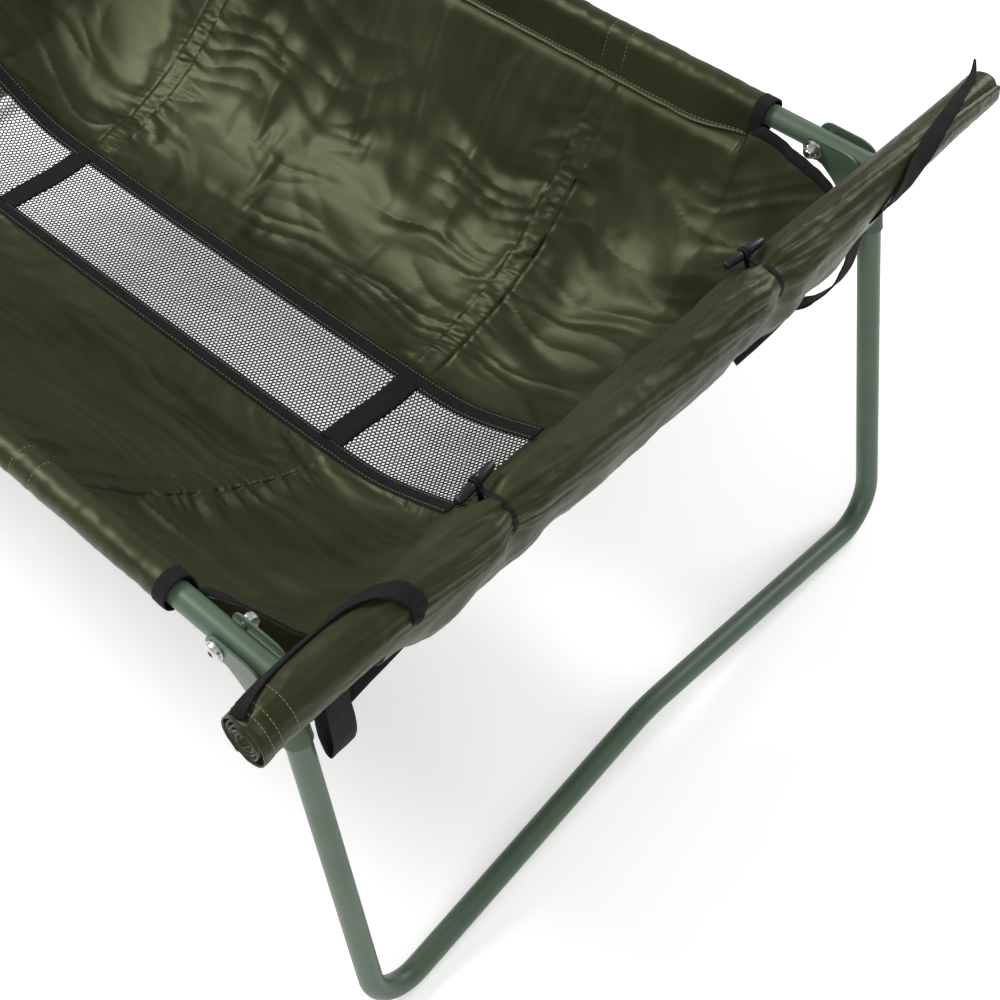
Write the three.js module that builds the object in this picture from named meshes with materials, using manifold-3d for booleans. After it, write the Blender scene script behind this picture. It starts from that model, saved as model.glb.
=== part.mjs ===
// A folding cradle: a fabric sling with a mesh drain floor, hung between two tubular rails,
// on a U-shaped leg frame at each end. The legs slide in clamped sockets and fold in under the rails.
// Millimetres, +Z up. The origin is on the ground under the middle of the whole object's box.
import * as THREE from "three";
import Module from "manifold-3d";
import { mergeVertices } from "three/addons/utils/BufferGeometryUtils.js";

const wasm = await Module();
wasm.setup();

// ---- driving dimensions ----
const GAP = 0.3; // between pieces that touch
const HALF_LENGTH = 540; // middle of the cradle to where a leg's axis meets the rails' axis
const HALF_SPACING = 380; // middle of the cradle to a rail's axis
const RAIL_HEIGHT = 445; // rails' axis above the ground
const CENTRE_Y = -43; // the sling's centre line, as the rolled cover sticks out further on one side
const TUBE_R = 11; // rails and legs
const TUBE_WALL = 1.5;
const SOCKET_R = 12.5; // the short outer tube that a leg slides in
const LEG_SPLAY = THREE.MathUtils.degToRad(11.63);
const FACET_RISE = 0.5; // a faceted tube's lowest edge lies this far above a round one's
// from the rails' axis to the lowest bends' axis
const LEG_LENGTH = (RAIL_HEIGHT - TUBE_R + FACET_RISE) / Math.cos(LEG_SPLAY);
const FOOT_BEND = 46; // centreline radius of the leg frame's lower corners
const FOOT_ARCH = 36; // how far the middle of the foot bar rises above its ends
const SOCKET_TOP = 14.5; // along the leg from the rails' axis: the socket starts just under the rail
const SOCKET_FOOT = 70; // and ends here
const LEG_TOP = 18; // the sliding leg's upper end, inside its socket
const PIVOT_INSET = 51; // pivot bolt, inboard of the leg
const RAIL_END = 6; // the rail runs this far past the leg's axis, over the socket's top
const SPIGOT_LENGTH = 120;
const BOLT_R = 4;
const BOLT_END = 11; // the threaded end stands this far out of the inboard plate
const NUT_FLATS_R = 7.2; // lock nut, to its corners
const KNOB_DROP = 45; // knob's axis, along the leg from the rail axis
const KNOB_HALF_WIDTH = 8.5; // oval wing
const KNOB_HALF_HEIGHT = 20;
const KNOB_STAND = 6; // the wing stands this far off the clamp nut
const CLAMP_NUT_DEPTH = 6;
const STUD_R = 3;
const PLATE = 2; // bracket plates
const PLATE_INSIDE = SOCKET_R + GAP; // plate's inner face from the rail's axis plane
const EYE_R = 12; // rounded end of a bracket plate, round the pivot bolt
const PLATE_FOOT = 62; // the plates reach this far down the leg
const CAP_DEPTH = 12; // the rail cap's plug, inside the tube
const CAP_HEAD = 2.5;

const FLOOR_HEIGHT = 197; // the sling's lowest fabric
const FLOOR_HALF_WIDTH = 62; // mesh floor
const TAPE_WIDTH = 20; // border tape over each long edge of the mesh
const FLOOR_HALF_LENGTH = 421;
const SIDE_TOP = 431; // where the side panels leave the rail sleeves
const SIDE_HALF_WIDTH = 368;
const CLOTH = 3; // thickness of the plain fabric solids
const NET_THICK = 2;
const STRAP_THICK = 1.8;
const SEAM_GAP = 1; // between the sling's fabric solids
const SLEEVE_R = 14;
const SLEEVE_END = 115; // sleeves stop this far inboard of the leg's axis
const CUFF_LENGTH = 8;
const CORNER_HALF_WIDTH = 315; // the sling's top edge where it passes between the brackets
const END_REACH = 22; // and how far past the leg's axis it comes there
const HEM_WIDTH = 3; // how far the hem of the open end runs outboard as it climbs
const TAUTNESS = { near: 0.7, far: 0.24 }; // a side panel hangs straight at 1 and in a deep hollow at 0
const STRAP_X = 259; // webbing straps across the mesh
const STRAP_WIDTH = 28;
const STRAP_LIFT = 2.3; // a strap's middle above the mesh's middle

const ROLL_R = 22;
const ROLL_X = 28; // rolled cover's axis, outboard of the leg's axis
const ROLL_HEIGHT = 463;
const ROLL_NEAR = -440;
const ROLL_FAR = 528;
const TOGGLE_Y = { near: -170, far: 174 };
const TOGGLE_R = 5;
const TOGGLE_LENGTH = 48;
const BAND_WIDTH = 6; // elastic loop of a toggle
const BAND_GAP = 1.2;
const BAND_THICK = 1.8;
const TIE_WIDTH = { near: 24, far: 20 };
const TIE_THICK = 2;

// ---- materials ----
const COLOURS = {
  paint: { color: 0x64846a, roughness: 0.45, metalness: 0.2 },
  steel: { color: 0xb4b6b4, roughness: 0.3, metalness: 1.0 },
  green_plastic: { color: 0x2f3d30, roughness: 0.5, metalness: 0.0 },
  black_plastic: { color: 0x16171a, roughness: 0.45, metalness: 0.0 },
  nylon: { color: 0x404631, roughness: 0.5, metalness: 0.0 },
  webbing: { color: 0x14140f, roughness: 0.85, metalness: 0.0 },
  mesh_net: { color: 0x1c1c1a, roughness: 0.8, metalness: 0.0 },
};

// ---- helpers ----
const root = new THREE.Group();
const cradle = new THREE.Group();
cradle.position.y = CENTRE_Y;
root.add(cradle);

function piece(parent, name, geometry, material, position = [0, 0, 0]) {
  const made = new THREE.Mesh(geometry, new THREE.MeshStandardMaterial(COLOURS[material]));
  made.name = name;
  made.position.set(...position);
  parent.add(made);
  return made;
}

function bare(geometry) {
  const copy = geometry.clone();
  for (const name of Object.keys(copy.attributes)) {
    if (name !== "position") copy.deleteAttribute(name);
  }
  return mergeVertices(copy, 1e-4);
}

function solid(geometry) {
  const merged = bare(geometry);
  return new wasm.Manifold(
    new wasm.Mesh({
      numProp: 3,
      vertProperties: new Float32Array(merged.attributes.position.array),
      triVerts: new Uint32Array(merged.index.array),
    }),
  );
}

function shell(manifold) {
  const mesh = manifold.getMesh();
  const made = new THREE.BufferGeometry();
  made.setAttribute("position", new THREE.BufferAttribute(mesh.vertProperties, 3));
  made.setIndex(new THREE.BufferAttribute(mesh.triVerts, 1));
  return made;
}

function cut(geometry, ...cutters) {
  return shell(cutters.reduce((left, cutter) => left.subtract(solid(cutter)), solid(geometry)));
}

// a closed ring of points round a circle, as a path or a hole
function circle(Kind, radius, sides) {
  const made = new Kind();
  for (let n = 0; n < sides; n += 1) {
    const turn = (n / sides) * 2 * Math.PI;
    const point = [radius * Math.cos(turn), radius * Math.sin(turn)];
    if (n === 0) made.moveTo(...point);
    else made.lineTo(...point);
  }
  made.closePath();
  return made;
}

function ring(outer, inner, sides) {
  const shape = circle(THREE.Shape, outer, sides);
  if (inner > 0) shape.holes.push(circle(THREE.Path, inner, sides));
  return shape;
}

// a tube or rod along X, from x0 to x1
function alongX(shape, x0, x1) {
  const made = new THREE.ExtrudeGeometry(shape, { depth: x1 - x0, bevelEnabled: false, steps: 1 });
  made.rotateZ(Math.PI / 2);
  made.rotateY(Math.PI / 2);
  return made.translate(x0, 0, 0);
}

// a piece turned about the Y axis, pointing towards +Y or, where outward is negative, towards -Y
function alongY(geometry, outward = 1) {
  return outward > 0 ? geometry : geometry.rotateX(Math.PI);
}

function turned(profile, sides) {
  return new THREE.LatheGeometry(profile.map(([r, h]) => new THREE.Vector2(r, h)), sides);
}

function bent(shape, curve, steps) {
  return new THREE.ExtrudeGeometry(shape, { extrudePath: curve, steps, bevelEnabled: false });
}

// ---- rails ----
function rail(y, direction, bend) {
  const x1 = HALF_LENGTH + RAIL_END;
  const tube = alongX(ring(TUBE_R, TUBE_R - TUBE_WALL, 20), GAP / 2, x1);
  const hole = alongY(new THREE.CylinderGeometry(BOLT_R + GAP, BOLT_R + GAP, 40, 12));
  hole.translate(HALF_LENGTH - PIVOT_INSET, 0, 0);
  const made = cut(tube, hole);
  if (direction < 0) made.rotateZ(Math.PI);
  return piece(cradle, `rail_${bend}`, made, "paint", [0, y, RAIL_HEIGHT]);
}

for (const [side, y] of [["near", -HALF_SPACING], ["far", HALF_SPACING]]) {
  rail(y, 1, `${side}_a`);
  rail(y, -1, `${side}_b`);
  const spigot = ring(TUBE_R - TUBE_WALL - GAP, TUBE_R - 2 * TUBE_WALL - GAP, 16);
  piece(cradle, `rail_spigot_${side}`, alongX(spigot, -SPIGOT_LENGTH / 2, SPIGOT_LENGTH / 2),
    "steel", [0, y, RAIL_HEIGHT]);
}

// ---- leg frames and brackets, one set at each end ----
// In an end's own group X = 0 is where the leg's axis meets the rail's axis, and +X points outboard.

function legPoint(along, outboard = 0) {
  return [
    along * Math.sin(LEG_SPLAY) + outboard * Math.cos(LEG_SPLAY),
    RAIL_HEIGHT - along * Math.cos(LEG_SPLAY) + outboard * Math.sin(LEG_SPLAY),
  ];
}

// side plate seen from the side: round the bolt, along the rail, down the leg, and a hollow curve back
function plateShape() {
  const top = RAIL_HEIGHT + EYE_R;
  const shape = new THREE.Shape();
  shape.moveTo(-PIVOT_INSET, top);
  shape.lineTo(-20, top);
  shape.quadraticCurveTo(-3, top - 1, ...legPoint(6, 1));
  shape.lineTo(...legPoint(48, 9));
  shape.quadraticCurveTo(...legPoint(PLATE_FOOT - 2, 9), ...legPoint(PLATE_FOOT, 0));
  shape.lineTo(...legPoint(PLATE_FOOT, -SOCKET_R + 1));
  shape.quadraticCurveTo(-12, RAIL_HEIGHT - 34, -PIVOT_INSET + 5, RAIL_HEIGHT - EYE_R + 1);
  shape.absarc(-PIVOT_INSET, RAIL_HEIGHT, EYE_R, -1.17, -Math.PI * 1.5, true);
  return shape;
}

// the strip that joins the plates along their hollow edge, under the rail
function webShape() {
  const shape = new THREE.Shape();
  shape.moveTo(-28, RAIL_HEIGHT - 25);
  shape.quadraticCurveTo(-15, RAIL_HEIGHT - 34, -7, RAIL_HEIGHT - 50);
  shape.lineTo(-9, RAIL_HEIGHT - 51);
  shape.quadraticCurveTo(-17, RAIL_HEIGHT - 36, -28, RAIL_HEIGHT - 27);
  shape.closePath();
  return shape;
}

// a shape seen from the side, as thick as depth from y
function plateAt(shape, y, depth = PLATE) {
  const made = new THREE.ExtrudeGeometry(shape, { depth, bevelEnabled: false, curveSegments: 4 });
  return made.rotateX(Math.PI / 2).translate(0, y + depth, 0);
}

function boltHole(y) {
  const made = alongY(new THREE.CylinderGeometry(BOLT_R + GAP, BOLT_R + GAP, 60, 12));
  return made.translate(-PIVOT_INSET, y, RAIL_HEIGHT);
}

function studHole(y, radius) {
  const [x, z] = legPoint(KNOB_DROP);
  const made = alongY(new THREE.CylinderGeometry(radius, radius, 30, 12));
  return made.translate(x, y, z);
}

// U-channel: two plates that straddle the rail and the leg socket, joined by a web
function bracket(end, name, y, outward) {
  const inside = PLATE_INSIDE;
  let made = solid(plateAt(plateShape(), y + inside));
  made = made.add(solid(plateAt(plateShape(), y - inside - PLATE)));
  made = made.add(solid(plateAt(webShape(), y - inside - PLATE / 2, 2 * inside + PLATE)));
  made = made.subtract(solid(boltHole(y)));
  made = made.subtract(solid(studHole(y + outward * 20, STUD_R + GAP)));
  piece(end, name, shell(made), "paint");
}

function socket(end, name, y, outward) {
  const sides = 20;
  const tube = new THREE.ExtrudeGeometry(ring(SOCKET_R, TUBE_R + GAP, sides), {
    depth: SOCKET_FOOT - SOCKET_TOP,
    bevelEnabled: false,
  });
  tube.translate(0, 0, -SOCKET_FOOT);
  tube.rotateY(-LEG_SPLAY);
  tube.translate(0, y, RAIL_HEIGHT);
  piece(end, name, cut(tube, studHole(y + outward * 20, STUD_R + GAP)), "paint");
}

// dome head, shank and threaded end, pushed in from the outboard side
function pivotBolt(end, name, y, outward) {
  const grip = PLATE_INSIDE + PLATE;
  const head = grip + 1.5 + GAP;
  const profile = [
    [0, -grip - BOLT_END],
    [BOLT_R - 0.6, -grip - BOLT_END],
    [BOLT_R, -grip - BOLT_END + 1],
    [BOLT_R, head],
    [8, head],
    [8, head + 2],
    [6.5, head + 4],
    [3.2, head + 5],
    [3, head + 2.6],
    [0, head + 2.6],
  ];
  const made = alongY(turned(profile, 12), outward);
  piece(end, name, made, "steel", [-PIVOT_INSET, y, RAIL_HEIGHT]);
}

// a bar standing on the Y axis: radius, start and end height, number of sides
function bar(radius, from, to, sides) {
  return new THREE.CylinderGeometry(radius, radius, to - from, sides).translate(0, (from + to) / 2, 0);
}

// hexagonal lock nut with a washer face and a round collar, on the inboard side
function pivotNut(end, name, y, outward) {
  const start = -(PLATE_INSIDE + PLATE + GAP);
  let made = solid(bar(8.5, start - 1.4, start, 16));
  made = made.add(solid(bar(NUT_FLATS_R, start - 7, start - 1, 6)));
  made = made.add(solid(bar(5.8, start - 9.5, start - 6, 12)));
  made = made.subtract(solid(bar(BOLT_R + GAP, start - 20, start + 5, 12)));
  piece(end, name, alongY(shell(made), outward), "steel", [-PIVOT_INSET, y, RAIL_HEIGHT]);
}

// the nut on the bracket's outer plate that the knob's stud screws through
function clampNut(end, name, y, outward) {
  const start = PLATE_INSIDE + PLATE + GAP;
  const made = cut(bar(7.5, start, start + CLAMP_NUT_DEPTH, 6), bar(STUD_R + GAP, start - 5, start + 20, 12));
  const [x, z] = legPoint(KNOB_DROP);
  piece(end, name, alongY(made, outward), "paint", [x, y, z]);
}

// oval wing on a threaded stud that presses on the leg inside its socket
function knob(end, name, y, outward) {
  const base = PLATE_INSIDE + PLATE + CLAMP_NUT_DEPTH + 3 * GAP;
  const wing = new THREE.Shape();
  wing.absellipse(0, 0, KNOB_HALF_WIDTH, KNOB_HALF_HEIGHT, 0, 2 * Math.PI, false, 0);
  const body = new THREE.ExtrudeGeometry(wing, {
    depth: 7,
    bevelEnabled: true,
    bevelThickness: 2.5,
    bevelSize: 2,
    bevelOffset: -2,
    bevelSegments: 1,
    curveSegments: 10,
  });
  body.rotateX(-Math.PI / 2);
  body.translate(0, base + KNOB_STAND, 0);
  const stem = turned(
    [[0, TUBE_R + GAP], [STUD_R, TUBE_R + GAP], [STUD_R, base], [7, base], [7.5, base + 8], [0, base + 8]],
    14,
  );
  const made = shell(solid(body).add(solid(stem)));
  const [x, z] = legPoint(KNOB_DROP);
  const stands = alongY(made, outward);
  stands.rotateY(-LEG_SPLAY);
  piece(end, name, stands, "green_plastic", [x, y, z]);
}

// the leg frame's centreline: down one leg, round a bend, over the arched foot bar, and up the other leg
class FrameLine extends THREE.Curve {
  constructor() {
    super();
    const reach = HALF_SPACING - FOOT_BEND;
    const slope = Math.atan(FOOT_ARCH / reach);
    const half = [[-HALF_SPACING, LEG_TOP]];
    const bendSteps = 7;
    for (let n = 0; n <= bendSteps; n += 1) {
      const turn = (n / bendSteps) * (Math.PI / 2 + slope);
      half.push([-reach - FOOT_BEND * Math.cos(turn), LEG_LENGTH - FOOT_BEND * (1 - Math.sin(turn))]);
    }
    half.push([-24, LEG_LENGTH - FOOT_ARCH + 24 * Math.tan(slope)]);
    const other = half.map(([y, along]) => [-y, along]).reverse();
    const middle = [0, LEG_LENGTH - FOOT_ARCH + 5 * Math.tan(slope)];
    this.corners = [...half, middle, ...other].map(([y, along]) => {
      const [x, z] = legPoint(along);
      return new THREE.Vector3(x, y, z);
    });
  }

  getPoint(t) {
    const place = t * (this.corners.length - 1);
    const n = Math.min(Math.floor(place + 1e-9), this.corners.length - 2);
    return this.corners[n].clone().lerp(this.corners[n + 1], place - n);
  }

  // at a corner the tangent is the mean of the two sides, so that the tube is mitred there
  getTangentAt(t) {
    const n = Math.round(t * (this.corners.length - 1));
    const sides = [];
    if (n > 0) sides.push(this.corners[n].clone().sub(this.corners[n - 1]).normalize());
    if (n < this.corners.length - 1) {
      sides.push(this.corners[n + 1].clone().sub(this.corners[n]).normalize());
    }
    return sides.reduce((sum, side) => sum.add(side)).normalize();
  }

  getSpacedPoints() {
    return this.corners;
  }
}

// plug and head that close a rail's outboard end, its axis along X
function railCap(end, name, y) {
  const plug = TUBE_R - TUBE_WALL - GAP;
  const profile = [
    [0, -CAP_DEPTH],
    [plug, -CAP_DEPTH],
    [plug, GAP],
    [TUBE_R, GAP],
    [TUBE_R - 1, GAP + CAP_HEAD],
    [0, GAP + CAP_HEAD],
  ];
  piece(end, name, turned(profile, 16).rotateZ(-Math.PI / 2), "black_plastic", [RAIL_END, y, RAIL_HEIGHT]);
}

function legFrame(end, name) {
  const line = new FrameLine();
  const made = bent(ring(TUBE_R, TUBE_R - TUBE_WALL, 14), line, line.corners.length - 1);
  piece(end, name, made, "paint");
}

for (const [letter, turn] of [["a", 0], ["b", Math.PI]]) {
  const end = new THREE.Group();
  end.position.x = turn ? -HALF_LENGTH : HALF_LENGTH;
  end.rotation.z = turn;
  cradle.add(end);
  for (const [side, y] of [["near", -HALF_SPACING], ["far", HALF_SPACING]]) {
    // the far end's group is turned half round, so its near side has the opposite sign
    const at = turn ? -y : y;
    const outward = Math.sign(at);
    bracket(end, `bracket_${letter}_${side}`, at, outward);
    socket(end, `leg_socket_${letter}_${side}`, at, outward);
    knob(end, `clamp_knob_${letter}_${side}`, at, outward);
    pivotBolt(end, `pivot_bolt_${letter}_${side}`, at, outward);
    pivotNut(end, `pivot_nut_${letter}_${side}`, at, outward);
    clampNut(end, `clamp_nut_${letter}_${side}`, at, outward);
    railCap(end, `rail_cap_${letter}_${side}`, at);
  }
  legFrame(end, `leg_frame_${letter}`);
}

// ---- sling ----
// The sling is one hanging surface. Its height follows how far a point is up the side and up the end.

const share = (value, low, high) => Math.max(0, (value - low) / (high - low));

// half the sling's width at x: full between the sleeves, drawn in to pass between the brackets at each end
function halfWidth(x) {
  const t = share(Math.abs(x), HALF_LENGTH - SLEEVE_END, HALF_LENGTH + END_REACH);
  return SIDE_HALF_WIDTH + (CORNER_HALF_WIDTH - SIDE_HALF_WIDTH) * t;
}

function slingPoint(x, across) {
  const w = halfWidth(x);
  const y = across * w;
  const up = Math.min(1, share(Math.abs(y), FLOOR_HALF_WIDTH, w));
  const taut = y < 0 ? TAUTNESS.near : TAUTNESS.far;
  const side = taut * up + (1 - taut) * up ** 3;
  const out = share(Math.abs(x), FLOOR_HALF_LENGTH - 90, HALF_LENGTH + END_REACH);
  const end = 0.45 * out + 0.55 * out ** 6;
  const rise = side + end - side * end;
  return new THREE.Vector3(x, y, FLOOR_HEIGHT + (SIDE_TOP - FLOOR_HEIGHT) * rise);
}

// a closed sheet of even thickness: x from x0 to x1, and across given as a share of the half width
function sheet(x0, x1, across0, across1, nx, ny, thickness = CLOTH, lift = 0) {
  const made = new THREE.BoxGeometry(1, 1, 1, nx, ny, 1);
  const at = made.attributes.position;
  for (let n = 0; n < at.count; n += 1) {
    const x = x0 + (x1 - x0) * (at.getX(n) + 0.5);
    const low = typeof across0 === "function" ? across0(x) : across0;
    const high = typeof across1 === "function" ? across1(x) : across1;
    const across = low + (high - low) * (at.getY(n) + 0.5);
    const point = slingPoint(x, across);
    const step = 0.5;
    const alongX = slingPoint(x + step, across).sub(slingPoint(x - step, across));
    const alongY = slingPoint(x, across + 0.002).sub(slingPoint(x, across - 0.002));
    const normal = alongX.cross(alongY).normalize();
    point.addScaledVector(normal, at.getZ(n) * thickness + lift);
    at.setXYZ(n, point.x, point.y, point.z);
  }
  return made;
}

const atWidth = (y) => (x) => y / halfWidth(x);
const meshEdge = FLOOR_HALF_WIDTH - TAPE_WIDTH / 2;
const tapeEdge = FLOOR_HALF_WIDTH + TAPE_WIDTH / 2;
const F = FLOOR_HALF_LENGTH;
const net = sheet(-F, F, atWidth(-meshEdge), atWidth(meshEdge), 12, 2, NET_THICK);
piece(cradle, "drain_floor_mesh", net, "mesh_net");
for (const [side, sign] of [["near", -1], ["far", 1]]) {
  const inner = atWidth(sign * (meshEdge + SEAM_GAP));
  const outer = atWidth(sign * tapeEdge);
  const start = atWidth(sign * (tapeEdge + SEAM_GAP));
  const [low, high] = sign > 0 ? [inner, outer] : [outer, inner];
  piece(cradle, `floor_border_tape_${side}`, sheet(-F, F, low, high, 12, 1), "webbing");
  const [from, to] = sign > 0 ? [start, 1] : [-1, start];
  piece(cradle, `side_panel_${side}`, sheet(-F, F, from, to, 12, 6), "nylon");
  const reach = HALF_LENGTH - SLEEVE_END;
  const sleeve = alongX(ring(SLEEVE_R, TUBE_R + GAP, 16), -reach, reach);
  piece(cradle, `rail_sleeve_${side}`, sleeve, "nylon", [0, sign * HALF_SPACING, RAIL_HEIGHT]);
  for (const [letter, way] of [["a", 1], ["b", -1]]) {
    const x0 = way > 0 ? reach + GAP : -reach - GAP - CUFF_LENGTH;
    const cuff = alongX(ring(SLEEVE_R + 1, TUBE_R + GAP, 16), x0, x0 + CUFF_LENGTH);
    piece(cradle, `sleeve_cuff_${letter}_${side}`, cuff, "webbing", [0, sign * HALF_SPACING, RAIL_HEIGHT]);
  }
}
for (const [letter, way] of [["a", 1], ["b", -1]]) {
  const x0 = F + SEAM_GAP;
  const x1 = HALF_LENGTH + END_REACH;
  const [from, to] = way > 0 ? [x0, x1] : [-x1, -x0];
  piece(cradle, `end_wall_${letter}`, sheet(from, to, -1, 1, 9, 12), "nylon");
  const low = way * STRAP_X - STRAP_WIDTH / 2;
  const high = low + STRAP_WIDTH;
  const strap = sheet(low, high, atWidth(-meshEdge), atWidth(meshEdge), 1, 2, STRAP_THICK, STRAP_LIFT);
  piece(cradle, `floor_strap_${letter}`, strap, "webbing");
}

// a flat strap through the points, width measured along Y, closed all round
function ribbon(points, width, thickness) {
  const line = new THREE.CatmullRomCurve3(points.map((at) => new THREE.Vector3(...at)));
  const steps = 4 * (points.length - 1);
  const made = new THREE.BoxGeometry(1, 1, 1, 1, 1, steps);
  const at = made.attributes.position;
  for (let n = 0; n < at.count; n += 1) {
    const t = at.getZ(n) + 0.5;
    const middle = line.getPoint(t);
    const along = line.getTangent(t);
    const normal = new THREE.Vector3(0, 1, 0).cross(along).normalize();
    const side = along.clone().cross(normal).normalize();
    middle.addScaledVector(side, at.getY(n) * width).addScaledVector(normal, at.getX(n) * thickness);
    at.setXYZ(n, middle.x, middle.y, middle.z);
  }
  return made;
}

// ---- rolled cover, its toggles on their loops, and the tie straps, at end a ----
const rollLine = new THREE.CatmullRomCurve3(
  [
    [ROLL_X - 1, ROLL_NEAR, -4],
    [ROLL_X, -HALF_SPACING, 4],
    [ROLL_X, 0, -1],
    [ROLL_X, HALF_SPACING, 4],
    [ROLL_X - 4, ROLL_FAR, -2],
  ].map(([x, y, z]) => new THREE.Vector3(HALF_LENGTH + x, y, ROLL_HEIGHT + z)),
);
piece(cradle, "cover_roll", bent(ring(ROLL_R, 0, 12), rollLine, 18), "nylon");

function rollAt(y) {
  let t = (y - ROLL_NEAR) / (ROLL_FAR - ROLL_NEAR);
  for (let n = 0; n < 8; n += 1) t += (y - rollLine.getPointAt(t).y) / (ROLL_FAR - ROLL_NEAR);
  return rollLine.getPointAt(t);
}

for (const [side, y] of Object.entries(TOGGLE_Y)) {
  const axis = rollAt(y);
  const end = TOGGLE_LENGTH / 2;
  const toggle = turned(
    [
      [0, -end],
      [TOGGLE_R - 1, -end],
      [TOGGLE_R, 2 - end],
      [TOGGLE_R, -5],
      [TOGGLE_R - 1.5, -3],
      [TOGGLE_R - 1.5, 3],
      [TOGGLE_R, 5],
      [TOGGLE_R, end - 2],
      [TOGGLE_R - 1, end],
      [0, end],
    ],
    12,
  );
  const away = ROLL_R + 3 + TOGGLE_R + GAP;
  const place = [axis.x - away * 0.85, y, axis.z + away * 0.53];
  piece(cradle, `toggle_${side}`, toggle, "black_plastic", place);
  const inner = ROLL_R + BAND_GAP;
  const outer = inner + BAND_THICK;
  const half = BAND_WIDTH / 2;
  const band = turned([[inner, -half], [outer, -half], [outer, half], [inner, half], [inner, -half]], 16);
  piece(cradle, `toggle_loop_${side}`, band, "webbing", [axis.x, y, axis.z]);
}

const tieTop = ROLL_HEIGHT - ROLL_R - 4;
const tieX = HALF_LENGTH + ROLL_X;
const TIE_NEAR = -354; // across, at the middle of the near strap
const nearTie = [
  [tieX + 4, TIE_NEAR, tieTop],
  [tieX + 8, TIE_NEAR, tieTop - 45],
  [tieX + 1, TIE_NEAR, tieTop - 92],
  [tieX - 5, TIE_NEAR, tieTop - 45],
  [tieX - 3, TIE_NEAR, tieTop],
];
piece(cradle, "tie_strap_near", ribbon(nearTie, TIE_WIDTH.near, TIE_THICK), "webbing");
const farTie = [
  [tieX - 4, 334, tieTop + 2],
  [tieX - 6, 338, tieTop - 50],
  [tieX - 12, 340, tieTop - 100],
  [tieX - 34, 326, tieTop - 134],
];
piece(cradle, "tie_strap_far", ribbon(farTie, TIE_WIDTH.far, TIE_THICK), "webbing");

// hem of the open end wall at end b
const hemStart = -HALF_LENGTH - END_REACH - 2 * SEAM_GAP;
piece(cradle, "end_hem_b", sheet(hemStart - HEM_WIDTH, hemStart, -1, 1, 1, 12), "webbing");

export default root;
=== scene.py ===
"""Looks of a folding fabric cradle: an olive nylon sling with a net drain floor, hung between two
tubular rails on a U-shaped leg frame at each end, with a rolled cover along one end.
Metres, +Z up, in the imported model's frame."""
import math

import bmesh
import bpy
import numpy as np
from mathutils import Matrix, Vector


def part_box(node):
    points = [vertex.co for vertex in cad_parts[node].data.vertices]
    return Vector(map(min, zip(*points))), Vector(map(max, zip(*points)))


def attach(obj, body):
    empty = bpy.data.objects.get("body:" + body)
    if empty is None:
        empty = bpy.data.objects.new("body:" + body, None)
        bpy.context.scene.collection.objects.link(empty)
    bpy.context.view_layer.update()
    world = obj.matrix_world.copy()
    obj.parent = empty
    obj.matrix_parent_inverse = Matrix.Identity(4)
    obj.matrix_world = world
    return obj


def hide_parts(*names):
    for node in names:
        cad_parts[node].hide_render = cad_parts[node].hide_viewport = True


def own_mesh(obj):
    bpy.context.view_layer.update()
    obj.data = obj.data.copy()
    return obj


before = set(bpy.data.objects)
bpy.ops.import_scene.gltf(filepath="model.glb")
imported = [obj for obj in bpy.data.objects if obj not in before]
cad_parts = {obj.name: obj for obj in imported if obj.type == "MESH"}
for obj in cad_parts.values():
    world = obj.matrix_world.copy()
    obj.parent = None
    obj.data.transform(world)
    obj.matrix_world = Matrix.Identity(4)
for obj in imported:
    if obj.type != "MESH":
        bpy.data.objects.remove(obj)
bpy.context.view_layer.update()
MM = 0.001

SIDES = (("near", -1), ("far", 1))
ENDS = (("a", 1), ("b", -1))

# ---- sizes, from the frame ----
rail_low, rail_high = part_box("rail_near_a")
far_low, far_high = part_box("rail_far_a")
CENTRE_Y = (rail_low.y + far_high.y) / 2
HALF_SPACING = (far_low.y + far_high.y - rail_low.y - rail_high.y) / 4
TUBE_R = (rail_high.z - rail_low.z) / 2
RAIL_HEIGHT = (rail_low.z + rail_high.z) / 2
RAIL_END = rail_high.x
HALF_LENGTH = RAIL_END - 6 * MM  # the rail runs a little past the leg's axis
pivot_low, pivot_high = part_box("pivot_bolt_a_near")
PIVOT_INSET = HALF_LENGTH - (pivot_low.x + pivot_high.x) / 2
GAP = 0.3 * MM
TUBE_WALL = 1.5 * MM
LEG_SPLAY = math.radians(11.63)
LEG_LENGTH = (RAIL_HEIGHT - TUBE_R) / math.cos(LEG_SPLAY)
FOOT_BEND = 46 * MM
FOOT_ARCH = 36 * MM
SOCKET_R = 12.5 * MM
SOCKET_TOP = 14.5 * MM
SOCKET_FOOT = 70 * MM
LEG_TOP = 18 * MM
PLATE = 2 * MM
PLATE_INSIDE = SOCKET_R + GAP
KNOB_DROP = 45 * MM

FLOOR_HEIGHT = 197 * MM
FLOOR_HALF_WIDTH = 62 * MM
FLOOR_HALF_LENGTH = 421 * MM
TAPE_WIDTH = 20 * MM
SIDE_TOP = 431 * MM
SIDE_HALF_WIDTH = 368 * MM
CORNER_HALF_WIDTH = 315 * MM
END_REACH = 22 * MM
SLEEVE_END = 115 * MM
SLEEVE_R = 13.6 * MM
TAUTNESS = {-1: 0.7, 1: 0.24}  # how straight the near and the far side hang: 1 is a straight line
STRAP_X = 259 * MM
STRAP_WIDTH = 28 * MM
SEAM_X = (243 * MM, 268 * MM)  # the two stitched lines of each gathered seam up a side
NET_HALF_WIDTH = FLOOR_HALF_WIDTH - 6 * MM
SLEEVE_REACH = HALF_LENGTH - SLEEVE_END
WALL_X = HALF_LENGTH + END_REACH
NYLON_THICK = 0.9 * MM
GRID = 3.4 * MM
EYE_R = 12 * MM

ROLL_R = 22 * MM
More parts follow.
